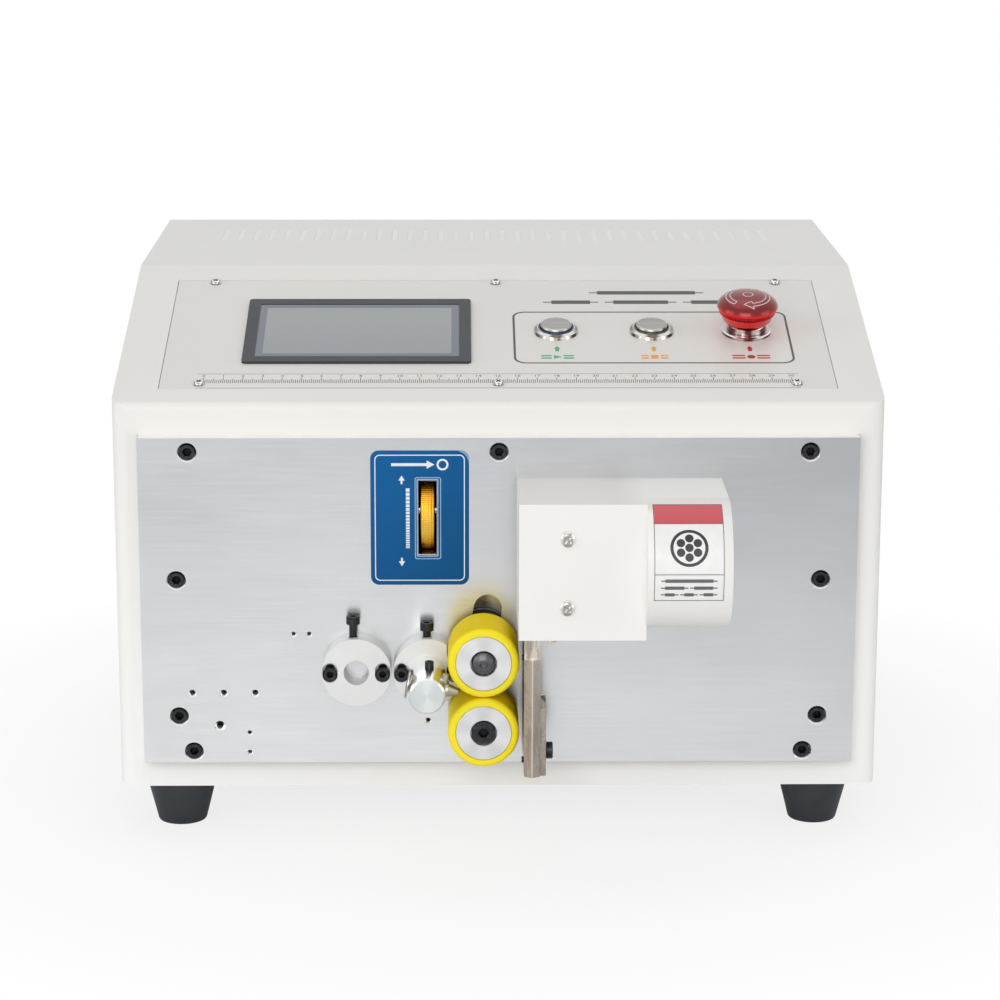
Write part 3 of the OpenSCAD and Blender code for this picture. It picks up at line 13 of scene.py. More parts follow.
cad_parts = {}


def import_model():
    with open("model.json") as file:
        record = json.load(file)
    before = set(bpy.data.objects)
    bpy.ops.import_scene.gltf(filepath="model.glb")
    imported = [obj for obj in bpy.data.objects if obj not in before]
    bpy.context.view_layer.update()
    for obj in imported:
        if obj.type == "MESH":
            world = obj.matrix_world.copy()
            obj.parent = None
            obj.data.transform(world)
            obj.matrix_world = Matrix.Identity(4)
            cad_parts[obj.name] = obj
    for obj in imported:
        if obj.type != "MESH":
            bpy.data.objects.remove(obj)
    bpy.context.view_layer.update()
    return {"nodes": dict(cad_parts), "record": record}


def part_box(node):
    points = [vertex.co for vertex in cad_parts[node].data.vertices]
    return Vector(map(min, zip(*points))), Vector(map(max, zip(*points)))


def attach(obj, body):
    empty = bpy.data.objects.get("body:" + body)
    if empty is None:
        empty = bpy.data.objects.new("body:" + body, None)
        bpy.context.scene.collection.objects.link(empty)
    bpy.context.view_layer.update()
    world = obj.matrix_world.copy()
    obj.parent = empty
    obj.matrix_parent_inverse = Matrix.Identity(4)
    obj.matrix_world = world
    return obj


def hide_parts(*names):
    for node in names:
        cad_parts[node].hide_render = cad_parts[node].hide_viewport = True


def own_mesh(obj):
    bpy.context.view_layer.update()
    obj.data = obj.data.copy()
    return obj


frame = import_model()
MM = 0.001

# Faces that carry printing
PLATE_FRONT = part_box("front_plate")[0].y
HOUSING_LOW, HOUSING_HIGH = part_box("housing_shell")
FRONT_Y = HOUSING_LOW.y
BASE_Z = HOUSING_LOW.z
SLOPE_START = 201 * MM
SLOPE_ANGLE = math.atan2(44.5, 166.5)

# Where painted light changes: heights of the paint's pale foot of painted bounce light from the bench, half
# width and height of the plate, over which its painted reflection changes, half size of the place round the
# wheel's slot, which is kept free of painted ledge highlights, and where the cover's flat top with its
# painted shade passes into its round end
PAINTED_BOUNCE_HEIGHTS = (BASE_Z, BASE_Z + 195 * MM)
PLATE_REACH = (160 * MM, 185 * MM)
SLOT_REACH = (8 * MM, 24 * MM)
COVER_BEND = (58 * MM, 72 * MM)

# Directions
UP, DOWN, LEFT, RIGHT, FRONT = (0, 0, 1), (0, 0, -1), (-1, 0, 0), (1, 0, 0), (0, -1, 0)
SLOPE_NORMAL = (0.0, -math.sin(SLOPE_ANGLE), math.cos(SLOPE_ANGLE))

# Camera, found from the corners of the housing and of the front plate in the photograph
CAMERA_PLACE = Vector((-20.6, -1648.2, 507.2)) * MM + Vector((0, 0, BASE_Z))
CAMERA_TURN = math.radians(-0.802)
CAMERA_TILT = math.radians(90 - 13.219)
CAMERA_ROLL = math.radians(0.107)
CAMERA_LENS = 110.7
SENSOR = 36.0

# Millimetres on the faces: the blue label and the wheel's slot as left, right, low and high
LABEL = (-64.7, -15.1, 109.3, 178.8)
SLOT = (-40.7, -31.3, 125.2, 163.1)
SLOT_MIDDLE = (-36.0, 144.0)
PANEL_SINK = -0.3
BUTTON_S = 86.7
START_U, STOP_U, EMERGENCY_U = 31.1, 81.5, 131.6
INK = 0.06


def camera():
    """The photograph's point of view."""
    data = bpy.data.cameras.new("camera")
    data.lens = CAMERA_LENS
    data.sensor_width = SENSOR
    data.clip_end = 50
    shot = bpy.data.objects.new("camera", data)
    place = Matrix.Translation(CAMERA_PLACE)
    for angle, axis in ((CAMERA_TURN, "Z"), (CAMERA_TILT, "X"), (CAMERA_ROLL, "Z")):
        place = place @ Matrix.Rotation(angle, 4, axis)
    shot.matrix_world = place
    bpy.context.scene.collection.objects.link(shot)
    bpy.context.scene.camera = shot


camera()


# Places

def on_slope(x, s, h=0.0):
    """A point of the sloping face: x across, s up the slope and h outward."""
    y = s * math.cos(SLOPE_ANGLE) - h * math.sin(SLOPE_ANGLE)
    z = s * math.sin(SLOPE_ANGLE) + h * math.cos(SLOPE_ANGLE)
    return Vector((x * MM, FRONT_Y + y * MM, BASE_Z + SLOPE_START + z * MM))


def on_panel(u, v, h=0.0):
    """A point on the panel sheet."""
    return on_slope(u, v, h + PANEL_SINK)


def on_plate(u, v, h=0.0):
    """A point on the front plate: u across, v above the housing's lower edge, h outward."""
    return Vector((u * MM, PLATE_FRONT - h * MM, BASE_Z + v * MM))


def about(place, across, along):
    """The same kind of place, counted from a middle on its face."""
    return lambda u, v, h: place(across + u, along + v, h)


# What a piece lies on: its place, the body it rides on and its slot
PANEL = (on_panel, "chassis", "panel_sheet")
PLATE = (on_plate, "chassis", "plate_metal")


# Materials

def dimmed(colour, factor):
    """A colour times a factor."""
    return tuple(c * factor for c in colour)


class Look:
    """A node material around one Principled shader."""

    def __init__(self, name, colour, metallic=0.0, roughness=0.5):
        self.material = bpy.data.materials.new(name)
        self.material.use_nodes = True
        self.tree = self.material.node_tree
        self.shader = self.tree.nodes["Principled BSDF"]
        self.put("Base Color", (*colour, 1))
        self.put("Metallic", metallic)
        self.put("Roughness", roughness)
        self.place = self.node("TexCoord").outputs["Object"]

    def fill(self, socket, value):
        """Sets a socket to a value, or links it to an output."""
        if isinstance(value, bpy.types.NodeSocket):
            self.tree.links.new(value, socket)
        else:
            socket.default_value = value

    def put(self, name, value):
        """Fills one of the shader's own sockets."""
        self.fill(self.shader.inputs[name], value)

    def tone(self, value):
        """Fills the shader's colour."""
        self.put("Base Color", value)

    def coat(self, weight, roughness):
        """Gives the shader a clear coat."""
        self.put("Coat Weight", weight)
        self.put("Coat Roughness", roughness)

    def node(self, kind, *ordered, **named):
        """A new node, its inputs filled in order or by name, and its properties by names in lower case."""
        made = self.tree.nodes.new("ShaderNode" + kind)
        for key, value in named.items():
            if key.islower():
                setattr(made, key, value)
        for key, value in (*enumerate(ordered), *named.items()):
            if not str(key).islower():
                self.fill(made.inputs[key], value)
        return made

    def maths(self, operation, first, second=0.0):
        return self.node("Math", first, second, operation=operation).outputs[0]

    def plus(self, first, second):
        return self.maths("ADD", first, second)

    def times(self, first, second):
        return self.maths("MULTIPLY", first, second)

    def vector(self, operation, *ordered, **named):
        return self.node("VectorMath", *ordered, operation=operation, **named).outputs

    def spread(self, value, low, high, start=0.0, end=1.0):
        """A value from start to end, spread to low to high."""
        return self.node("MapRange", value, start, end, low, high).outputs["Result"]

    def noise(self, scale, detail=3.0, roughness=0.5, vector=None):
        """Noise over the place, or over another vector."""
        at = self.place if vector is None else vector
        made = self.node("TexNoise", Vector=at, Scale=scale, Detail=detail, Roughness=roughness)
        return made.outputs["Fac"]

    def stretched(self, stretch, detail=3.0, roughness=0.5):
        """Noise with its own scale along each axis."""
        mapping = self.node("Mapping", Vector=self.place, Scale=stretch)
        return self.noise(1.0, detail, roughness, mapping.outputs["Vector"])

    def rings(self, length, scale, detail=3.0):
        """Noise that only changes with a length, such as the distance from an axis."""
        made = self.node("TexNoise", noise_dimensions="1D", W=length, Scale=scale, Detail=detail)
        return made.outputs["Fac"]

    def mixed(self, factor, first, second):
        """A colour between two colours."""
        made = self.node("Mix", factor, data_type="RGBA")
        for number, colour in ((6, first), (7, second)):
            linked = isinstance(colour, bpy.types.NodeSocket)
            self.fill(made.inputs[number], colour if linked else (*colour, 1))
        return made.outputs[2]

    def wandering(self, first, second, scale, detail=3.0):
        """A colour that wanders between two tones."""
        return self.mixed(self.spread(self.noise(scale, detail), 0.0, 1.0, 0.3, 0.7), first, second)

    def relief(self, height, depth, under=None):
        """A bump of the given depth in metres, on top of another one if there is one."""
        made = self.node("Bump", Height=height, Strength=1.0, Distance=depth)
        if under is not None:
            self.fill(made.inputs["Normal"], under)
        return made.outputs["Normal"]

    def uneven(self, low, high, scale, detail=3.0):
        """Lets the shader's roughness wander between two values."""
        self.put("Roughness", self.spread(self.noise(scale, detail), low, high))

    def grained(self, scale, depth, detail=3.0):
        """Gives the shader a fine relief."""
        self.put("Normal", self.relief(self.noise(scale, detail), depth))

    def towards(self, direction, start, end, low=0.0, high=1.0):
        """From low to high by how far the surface faces a direction, from -1 to 1."""
        normal = self.node("TexCoord").outputs["Normal"]
        facing = self.vector("DOT_PRODUCT", normal, direction)["Value"]
        return self.spread(facing, low, high, start, end)

    def part(self, axis):
        """One coordinate of the place: X, Y or Z."""
        return self.node("SeparateXYZ", self.place).outputs[axis]

    def along(self, axis, start, end, low=0.0, high=1.0):
        """From low to high between two places on an axis."""
        return self.spread(self.part(axis), low, high, start, end)

    def away(self, axis, place):
        """Distance from a place on an axis."""
        return self.maths("ABSOLUTE", self.maths("SUBTRACT", self.part(axis), place))

    def openness(self, reach, start, end, low=0.0, high=1.0):
        """From low in a narrow recess to high in the open."""
        made = self.node("AmbientOcclusion", samples=8, Distance=reach)
        return self.spread(made.outputs["AO"], low, high, start, end)

    def radial(self, centre, axis):
        """The vector from an axis through centre, and its length."""
        offset = self.vector("SUBTRACT", self.place, centre)[0]
        flat = self.vector("MULTIPLY", offset, [float(name != axis) for name in "XYZ"])[0]
        return flat, self.vector("LENGTH", flat)["Value"]

    def lathe_marks(self, ring, outward, roughness, anisotropic, depth):
        """The shine of a turned face: its ring noise and the vector outward from its axis."""
        self.put("Roughness", self.spread(ring, roughness - 0.05, roughness + 0.08))
        self.put("Anisotropic", anisotropic)
        self.put("Tangent", outward)
        self.put("Normal", self.relief(ring, depth))


def paint(name, colour, roughness=0.42, peel=0.000012, foot=None):
    """Powder coat: faint orange peel, slightly uneven gloss and tone; foot is a paler tone at the bench,
    painted bounce light from the floor.
    """
    look = Look(name, colour, 0.0, roughness)
    tone = look.wandering(colour, dimmed(colour, 0.975), 9.0)
    # A paler foot is painted bounce light from the floor.
    if foot:
        tone = look.mixed(look.along("Z", *PAINTED_BOUNCE_HEIGHTS), foot, tone)
    look.tone(tone)
    look.uneven(roughness - 0.05, roughness + 0.07, 30.0, 4.0)
    look.grained(650.0, peel, 2.0)
    look.put("Specular IOR Level", 0.25)
    look.coat(0.05, 0.3)
    return look.material


def cover_coat(name, colour, top):
    """Powder coat painted darker and warmer where it faces up, short of the round end: painted shade on its
    flat top.
    """
    look = Look(name, colour, 0.0, 0.42)
    coat = look.mixed(look.noise(9.0), colour, dimmed(colour, 0.985))
    upward = look.towards(UP, 0.975, 0.999)
    painted_shade_flat_part = look.along("X", *COVER_BEND, 1.0, 0.0)
    # Painted shade on the flat top where it faces up, short of the round end.
    look.tone(look.mixed(look.times(upward, painted_shade_flat_part), coat, top))
    look.uneven(0.38, 0.50, 30.0, 4.0)
    look.grained(650.0, 0.000010, 2.0)
    return look.material


def brushed(name, colour, along, roughness=0.3, contrast=0.1):
    """Metal brushed along one axis: long fine scratches over broader bands."""
    look = Look(name, colour, 1.0, roughness)
    scratches = look.stretched([7.0 if axis == along else 1500.0 for axis in "XYZ"], 5.0, 0.6)
    bands = look.stretched([3.0 if axis == along else 260.0 for axis in "XYZ"], 4.0, 0.65)
    both = look.times(look.plus(scratches, bands), 0.5)
    bright = [min(c, 1.0) for c in dimmed(colour, 1 + contrast)]
    tone = look.spread(both, 0.0, 1.0, 0.35, 0.65)
    look.tone(look.mixed(tone, dimmed(colour, 1 - contrast), bright))
    look.put("Roughness", look.spread(scratches, roughness - 0.07, roughness + 0.1, 0.3, 0.7))
    look.put("Normal", look.relief(scratches, 0.000004))
    return look.material


def faced_plate(name, high, low):
    """The big front plate: hair lines along X, faint clouds, and a painted reflection that lightens its tone
    towards the bench and to the right.

    The cut faces of its holes get a painted highlight where they face up and painted shade where they face
    down, but for those of the wheel's slot.
    """
    look = Look(name, high, 1.0, 0.24)
    hair = look.stretched((14.0, 14.0, 2600.0), 4.0, 0.6)
    streaks = look.stretched((22.0, 22.0, 800.0), 4.0, 0.6)
    clouds = look.spread(look.stretched((9.0, 9.0, 22.0)), -0.10, 0.10, 0.25, 0.75)
    # Painted reflection: the tone lightens towards the bench and to the right.
    painted_light_rise = look.along("Z", BASE_Z, BASE_Z + PLATE_REACH[1])
    rightward = look.along("X", 0.0, PLATE_REACH[0], 1.0, 1.12)
    tone = look.mixed(look.plus(look.times(painted_light_rise, rightward), clouds), low, high)
    lines = look.spread(look.plus(hair, streaks), 0.97, 1.03, 0.7, 1.3)
    face = look.vector("SCALE", tone, Scale=lines)[0]
    beside = look.maths("DIVIDE", look.away("X", SLOT_MIDDLE[0] * MM), SLOT_REACH[0])
    above = look.maths("DIVIDE", look.away("Z", BASE_Z + SLOT_MIDDLE[1] * MM), SLOT_REACH[1])
    clear = look.spread(look.maths("MAXIMUM", beside, above), 0.0, 1.0, 0.95, 1.0)
    # Painted highlight on walls that face up, painted shade on walls that face down.
    painted_ledge_highlight = look.times(clear, look.towards(UP, 0.25, 0.6))
    walls_with_painted_highlight = look.mixed(painted_ledge_highlight, face, (0.98, 0.98, 0.97))
    look.tone(look.mixed(look.towards(DOWN, 0.25, 0.6), walls_with_painted_highlight, (0.05, 0.05, 0.05)))
    look.put("Metallic", look.spread(painted_ledge_highlight, 1.0, 0.15))
    look.put("Roughness", look.spread(streaks, 0.22, 0.27, 0.3, 0.7))
    look.put("Tangent", look.vector("MULTIPLY", look.place, UP)[0])
    look.put("Anisotropic", 0.6)
    look.put("Normal", look.relief(hair, 0.0000012))
    return look.material


def fanned(name, colour, centre):
    """A face turned about an axis along Y: fine rings, an anisotropic shine, and a painted reflection in its
    colour that fans out from the centre.
    """
    look = Look(name, colour, 1.0, 0.3)
    outward, length = look.radial(centre, "Y")
    ring = look.rings(length, 2600.0)
    parts = look.node("SeparateXYZ", outward).outputs
    # Painted reflection: bright and dark sectors that fan out round the axis.
    angle = look.maths("ARCTAN2", parts["Z"], parts["X"])
    wave, blade = (look.maths("COSINE", look.times(look.plus(angle, shift), count))
                   for shift, count in ((-0.15, 2.0), (0.35, 5.0)))
    painted_fan_reflection = look.plus(wave, look.times(blade, 0.45))
    tone = look.plus(look.spread(painted_fan_reflection, 0.0, 0.85, -1.3, 1.3), look.spread(ring, 0.0, 0.15, 0.3, 0.7))
    look.tone(look.mixed(tone, dimmed(colour, 0.66), colour))
    look.lathe_marks(ring, outward, 0.3, 0.5, 0.000003)
    return look.material


def turned(name, colour, centre, roughness):
    """Metal turned about an axis along Y: fine rings all over."""
    look = Look(name, colour, 1.0, roughness)
    outward, length = look.radial(centre, "Y")
    ring = look.rings(length, 2400.0)
    tone = look.spread(ring, 0.0, 1.0, 0.3, 0.7)
    look.tone(look.mixed(tone, dimmed(colour, 0.94), colour))
    look.lathe_marks(ring, outward, roughness, 0.75, 0.000004)
    return look.material


def stained(name, colour, shade, left=(0.66, 0.60, 0.52), ridge=None):
    """Tool steel with upright grinding lines and brown stains, painted shade on faces turned right, and on
    faces turned left a tone scaled by left; the ridge is given as the X and top of a painted highlight along
    that edge.
    """
    look = Look(name, colour, 0.75, 0.3)
    lines = look.stretched((900.0, 900.0, 7.0), 5.0, 0.65)
    stain = look.spread(look.stretched((200.0, 200.0, 55.0), 5.0, 0.65), 0.0, 0.8, 0.47, 0.62)
    spots = look.maths("MAXIMUM", stain, look.spread(look.noise(620.0, 4.0), 0.0, 0.8, 0.58, 0.68))
    ground = look.mixed(look.spread(lines, 0.0, 1.0, 0.3, 0.7), dimmed(colour, 0.84), colour)
    left_shade_colour = [c * a for c, a in zip(colour, left)]
    left_shade_ground = look.mixed(lines, dimmed(left_shade_colour, 0.85), dimmed(left_shade_colour, 1.1))
    tone = look.mixed(spots, ground, shade)
    # Painted shade: faces turned right are dimmed, faces turned left take the colour scaled by left.
    for direction, base in ((RIGHT, dimmed(colour, 0.52)), (LEFT, left_shade_ground)):
        tone = look.mixed(look.towards(direction, 0.15, 0.35), tone, look.mixed(spots, base, shade))
    if ridge:
        # Painted highlight along the ridge's edge, below its top.
        edge = look.spread(look.away("X", ridge[0] * MM), 0.7, 0.0, 0.2 * MM, 0.6 * MM)
        below = look.maths("LESS_THAN", look.part("Z"), ridge[1] * MM)
        tone = look.mixed(look.times(edge, below), tone, (0.84, 0.78, 0.71))
    look.tone(tone)
    look.put("Roughness", look.spread(lines, 0.22, 0.42, 0.3, 0.7))
    look.put("Normal", look.relief(lines, 0.000004))
    return look.material


def oiled(name, middle):
    """Steel painted dark as the shade inside the roller's slot, uneven in tone, with a painted paler
    reflection to the right of a place on X.
    """
    look = Look(name, (0.03, 0.025, 0.02), 0.9, 0.25)
    film = look.noise(160.0, 4.0)
    # Dark tones: painted shade inside the roller's slot.
    dark = look.mixed(film, (0.15, 0.135, 0.10), (0.26, 0.235, 0.185))
    # Painted reflection: paler to the right of middle.
    across = look.along("X", middle - 1 * MM, middle + 3 * MM)
    look.tone(look.mixed(across, dark, (0.62, 0.60, 0.56)))
    look.put("Roughness", look.spread(film, 0.18, 0.36))
    look.grained(700.0, 0.000004)
    return look.material


def satin(name, colour, metallic=1.0, roughness=0.42):
    """Bead-blasted or cast metal with a fine grain."""
    look = Look(name, colour, metallic, roughness)
    look.tone(look.wandering(colour, dimmed(colour, 0.93), 45.0))
    look.uneven(roughness - 0.06, roughness + 0.08, 120.0)
    look.grained(900.0, 0.000012)
    return look.material


def black_oxide(name):
    """Blackened steel with a thin oily shine and rubbed spots, and painted shade, near black, in its
    recesses.
    """
    look = Look(name, (0.018, 0.018, 0.020), 0.7, 0.3)
    rubbed = look.spread(look.noise(420.0, 4.0), 0.0, 1.0, 0.45, 0.8)
    worn = look.mixed(rubbed, (0.034, 0.035, 0.037), (0.062, 0.063, 0.067))
    # Painted shade: near black in recesses.
    look.tone(look.mixed(look.openness(0.004, 0.35, 0.80), (0.001, 0.001, 0.001), worn))
    upward = look.towards(UP, 0.7, 0.95)
    look.put("Metallic", look.spread(upward, 0.7, 0.15))
    look.put("Specular IOR Level", 0.25)
    haze = look.spread(look.noise(260.0), 0.20, 0.34)
    look.put("Roughness", look.plus(haze, look.spread(upward, 0.0, 0.35)))
    look.grained(1600.0, 0.000008)
    return look.material


def chrome(name, dark, bright, waves=7.85, flat=1.0, pit=0.0):
    """Bright plated steel: painted reflections as dark and bright stripes by the way it faces, a painted
    highlight where it faces along the slope, painted shade in recesses, faint haze.
    """
    look = Look(name, bright, 1.0, 0.09)
    # Painted reflections as stripes by facing, a painted highlight where it faces along the slope, and
    # painted shade in recesses.
    painted_reflection_stripes = look.maths("COSINE", look.towards(RIGHT, -1.0, 1.0, -waves, waves))
    painted_top_highlight = look.towards(SLOPE_NORMAL, 0.80, 0.97, 0.0, flat)
    tone = look.maths("MAXIMUM", look.spread(painted_reflection_stripes, 1.0, 0.0, -0.5, 0.6), painted_top_highlight)
    tone_with_painted_recess_shade = look.times(tone, look.openness(0.0015, 0.35, 0.85, pit))
    look.tone(look.mixed(tone_with_painted_recess_shade, dark, bright))
    look.uneven(0.09, 0.21, 150.0, 4.0)
    look.grained(500.0, 0.000002)
    return look.material


def rubber(name, colour, shade, roughness=0.5):
    """Soft rubber with a fine moulded grain and uneven wear."""
    look = Look(name, colour, 0.0, roughness)
    look.tone(look.wandering(colour, shade, 60.0, 4.0))
    look.uneven(roughness - 0.08, roughness + 0.12, 90.0, 4.0)
    look.grained(1300.0, 0.00002, 2.0)
    return look.material


def tyre_rubber(name, centre):
    """Yellow polyurethane, with turned rings, a slightly worn tread, and a paler front face that is painted
    light.
    """
    look = Look(name, (0.80, 0.66, 0.008), 0.0, 0.42)
    wear = look.spread(look.stretched((60, 9, 60), 4.0), 0.0, 1.0, 0.35, 0.75)
    tread = look.mixed(wear, (0.96, 0.73, 0.003), (0.88, 0.64, 0.002))
    # Paler where it faces forward: painted light on the front face.
    look.tone(look.mixed(look.towards(FRONT, 0.1, 0.8), tread, (0.97, 0.80, 0.03)))
    ring = look.rings(look.radial(centre, "Y")[1], 1500.0, 2.0)
    grain = look.relief(look.noise(1500.0, 2.0), 0.000012)
    look.put("Normal", look.relief(ring, 0.000010, grain))
    look.put("Specular IOR Level", 0.12)
    look.put("Subsurface Weight", 0.15)
    look.put("Subsurface Radius", (0.004, 0.003, 0.0005))
    look.put("Subsurface Scale", 0.5)
    look.put("Roughness", look.spread(wear, 0.50, 0.62))
    return look.material


def gilded(name):
    """Gold-coloured plating, with a painted highlight where it faces forward and down, darker in the
    knurling's valleys.
    """
    look = Look(name, (0.80, 0.42, 0.04), 1.0, 0.28)
    worn = look.mixed(look.noise(260.0, 4.0), (0.46, 0.205, 0.014), (0.68, 0.32, 0.028))
    # Painted highlight where it faces forward and down.
    with_painted_highlight = look.mixed(look.towards((0, -0.93, -0.37), 0.84, 0.99), worn, (1.0, 0.62, 0.10))
    look.tone(look.mixed(look.openness(0.0005, 0.5, 0.95), (0.34, 0.15, 0.008), with_painted_highlight))
    look.uneven(0.22, 0.38, 300.0)
    look.grained(2400.0, 0.000003, 2.0)
    return look.material


def anodised(name, colour):
    """Glossy red anodised aluminium, with faint turning marks, painted shade on its crown where it faces
    along the slope, and painted shade in its grooves.
    """
    look = Look(name, colour, 0.55, 0.2)
    look.coat(0.35, 0.10)
    flank = look.mixed(look.noise(70.0), colour, dimmed(colour, 0.82))
    # Painted shade on the crown where it faces along the slope.
    flank_with_painted_crown_shade = look.mixed(look.towards(SLOPE_NORMAL, 0.10, 0.45), flank, dimmed(colour, 0.21))
    # Painted shade in the grooves.
    look.tone(look.mixed(look.openness(0.0010, 0.35, 0.70), dimmed(colour, 0.12), flank_with_painted_crown_shade))
    look.uneven(0.16, 0.3, 200.0)
    look.grained(2200.0, 0.000003)
    return look.material


def plastic(name, colour, roughness=0.45, grain=0.000012):
    """Moulded plastic with a fine texture."""
    look = Look(name, colour, 0.0, roughness)
    look.tone(look.wandering(colour, dimmed(colour, 1.2), 35.0))
    look.uneven(roughness - 0.05, roughness + 0.08, 140.0)
    look.grained(1100.0, grain, 2.0)
    return look.material


def ink(name, colour, roughness=0.4):
    """Printed colour: nearly flat, a little uneven."""
    look = Look(name, colour, 0.0, roughness)
    look.tone(look.wandering(colour, dimmed(colour, 0.96), 260.0, 2.0))
    look.uneven(roughness - 0.04, roughness + 0.05, 300.0)
    return look.material


def label_film(name, first, last):
    """Printed film: one tone at the upper left that deepens towards the lower right."""
    look = Look(name, first, 0.0, 0.45)
    across = look.along("X", LABEL[0] * MM, LABEL[1] * MM, 0.0, 0.5)
    down = look.along("Z", BASE_Z + LABEL[2] * MM, BASE_Z + LABEL[3] * MM, 0.5, 0.0)
    blot = look.spread(look.noise(40.0), -0.08, 0.08, 0.3, 0.7)
    depth = look.plus(look.plus(across, down), blot)
    look.tone(look.mixed(depth, first, last))
    look.put("Specular IOR Level", 0.1)
    look.uneven(0.40, 0.52, 220.0)
    return look.material


def screen(name, low, high, start, end):
    """Switched-off display: its tone drifts from low to high between two heights."""
    look = Look(name, low, 0.0, 0.22)
    cloud = look.times(look.noise(14.0, 2.0), 0.35)
    look.tone(look.mixed(look.plus(look.along("Z", start, end), cloud), low, high))
    look.coat(0.5, 0.12)
    return look.material


def middle_of(node):
    """The middle of a node's box."""
    low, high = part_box(node)
    return (low + high) / 2


WHITE_PAINT = (0.875, 0.858, 0.818)
# The housing paint's paler tone at the bench: painted bounce light from the floor
WHITE_PAINTED_BOUNCE = (0.965, 0.955, 0.93)
TOOL_STEEL = ((0.74, 0.675, 0.60), (0.32, 0.25, 0.19))
SLOT_FINISHES = {
    "housing_paint": (paint, WHITE_PAINT, 0.42, 0.000012, WHITE_PAINTED_BOUNCE),
    "panel_sheet": (paint, (0.815, 0.795, 0.755), 0.38, 0.000006),
    # The plate's darker upper and paler lower tones are its painted reflection.
    "plate_metal": (faced_plate, (0.455, 0.462, 0.476), (0.81, 0.815, 0.82)),
    "black_steel": (black_oxide,),
    "bright_steel": (chrome, (0.19, 0.19, 0.19), (0.74, 0.74, 0.73), 11.0, 0.9),
    "foot_rubber": (rubber, (0.020, 0.024, 0.030), (0.034, 0.038, 0.045)),
    "display_case": (plastic, (0.026, 0.028, 0.034), 0.5),
    "display_pane": (screen, (0.095, 0.120, 0.158), (0.118, 0.142, 0.180), 0.26, 0.28),
    "button_steel": (brushed, (0.34, 0.335, 0.32), "X", 0.24, 0.16),
    "stop_red": (anodised, (0.56, 0.006, 0.012)),
    "post_steel": (turned, (0.80, 0.83, 0.83), middle_of("guide_post"), 0.2),
    "tube_steel": (satin, (0.50, 0.46, 0.40), 1.0, 0.3),
    "blade_steel": (stained, *TOOL_STEEL),
    # The cover's second colour is the painted shade of its flat top.
    "cover_paint": (cover_coat, (0.90, 0.885, 0.855), (0.79, 0.765, 0.72)),
    "inner_metal": (satin, (0.55, 0.56, 0.58)),
    "motor_black": (paint, (0.022, 0.022, 0.025), 0.4),
    "shaft_steel": (brushed, (0.52, 0.53, 0.55), "Y", 0.24),
    "belt_rubber": (rubber, (0.012, 0.012, 0.012), (0.02, 0.02, 0.02)),
    "board_green": (plastic, (0.012, 0.11, 0.05), 0.35),
    "fan_plastic": (plastic, (0.016, 0.016, 0.018)),
    "rocker_red": (plastic, (0.50, 0.02, 0.012), 0.25, 0.000004),
    "boss_metal": (satin, (0.78, 0.78, 0.775), 0.35, 0.5),
    "wheel_brass": (gilded,),
}
finishes = {name: make(name, *values) for name, (make, *values) in SLOT_FINISHES.items()}
node_finishes = {
    "lower_hub": fanned("lower_hub", (0.90, 0.90, 0.90), middle_of("lower_hub")),
    "upper_hub": fanned("upper_hub", (0.90, 0.90, 0.90), middle_of("upper_hub")),
    "blade_frame": stained("web_steel", (0.25, 0.215, 0.18), (0.14, 0.11, 0.08), (1.0, 1.0, 1.0)),
    "cover_screws": chrome("cover_screw_steel", (0.44, 0.42, 0.39), (0.93, 0.92, 0.90), 4.0, pit=0.55),
    "guide_bar": stained("bar_steel", *TOOL_STEEL, ridge=(16.0, 108.4)),
    "lower_blade": stained("fixed_blade", (0.44, 0.40, 0.35), (0.24, 0.19, 0.145), (1.0, 1.0, 1.0)),
    "push_switches": chrome("collar_steel", (0.15, 0.12, 0.10), (0.72, 0.71, 0.69), 9.0, 0.75),
    "roller_carriage": oiled("roller_carriage", middle_of("roller_carriage").x + 2 * MM),
    "lower_tyre": tyre_rubber("lower_tyre", middle_of("lower_tyre")),
    "upper_tyre": tyre_rubber("upper_tyre", middle_of("upper_tyre")),
    "upper_bolt": turned("upper_bolt", (0.13, 0.13, 0.135), middle_of("upper_bolt"), 0.3),
    # The stop base's reddish dark tone is the painted reflection of the red head.
    "stop_base": chrome("stop_base", (0.15, 0.06, 0.055), (0.78, 0.76, 0.75), flat=0.55),
}
EDGE_WIDTHS = {
    "blade_cover": 0.8, "guide_bosses": 0.4, "display_module": 0.4, "feet": 1.0, "guide_bar": 0.35,
    "blade_frame": 0.4, "mains_inlet": 0.6, "power_rocker": 0.5, "panel_screws": 0.12, "cover_screws": 0.15,
    "motor_bracket": 0.3, "fan_frame": 0.5, "blade_carriage": 0.3,
}


def soften(part, width):
    """Rounds a part's sharp edges by a bevel, on a copy of the mesh made by the modifiers."""
    weld = part.modifiers.new("weld", "WELD")
    weld.merge_threshold = 0.00001
    bevel = part.modifiers.new("bevel", "BEVEL")
    bevel.width = width * MM
    bevel.segments = 2
    bevel.limit_method = "ANGLE"
    bevel.angle_limit = math.radians(40)
    bevel.harden_normals = True


def dress_nodes():
    """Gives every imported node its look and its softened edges."""
    slots = {entry["node"]: entry["material_slot"] for entry in frame["record"]["subparts"]}
    for name, part in frame["nodes"].items():
        part.data.materials.clear()
        part.data.materials.append(node_finishes.get(name) or finishes.get(slots[name]))
        if name in EDGE_WIDTHS:
            soften(part, EDGE_WIDTHS[name])


dress_nodes()


# Flat shapes, as lists of points

def arc(cu, cv, radius, start, end, steps):
    """Points round a middle, from a start angle to an end angle in degrees."""
    angles = [math.radians(start + (end - start) * i / steps) for i in range(steps + 1)]
    return [(cu + radius * math.cos(a), cv + radius * math.sin(a)) for a in angles]


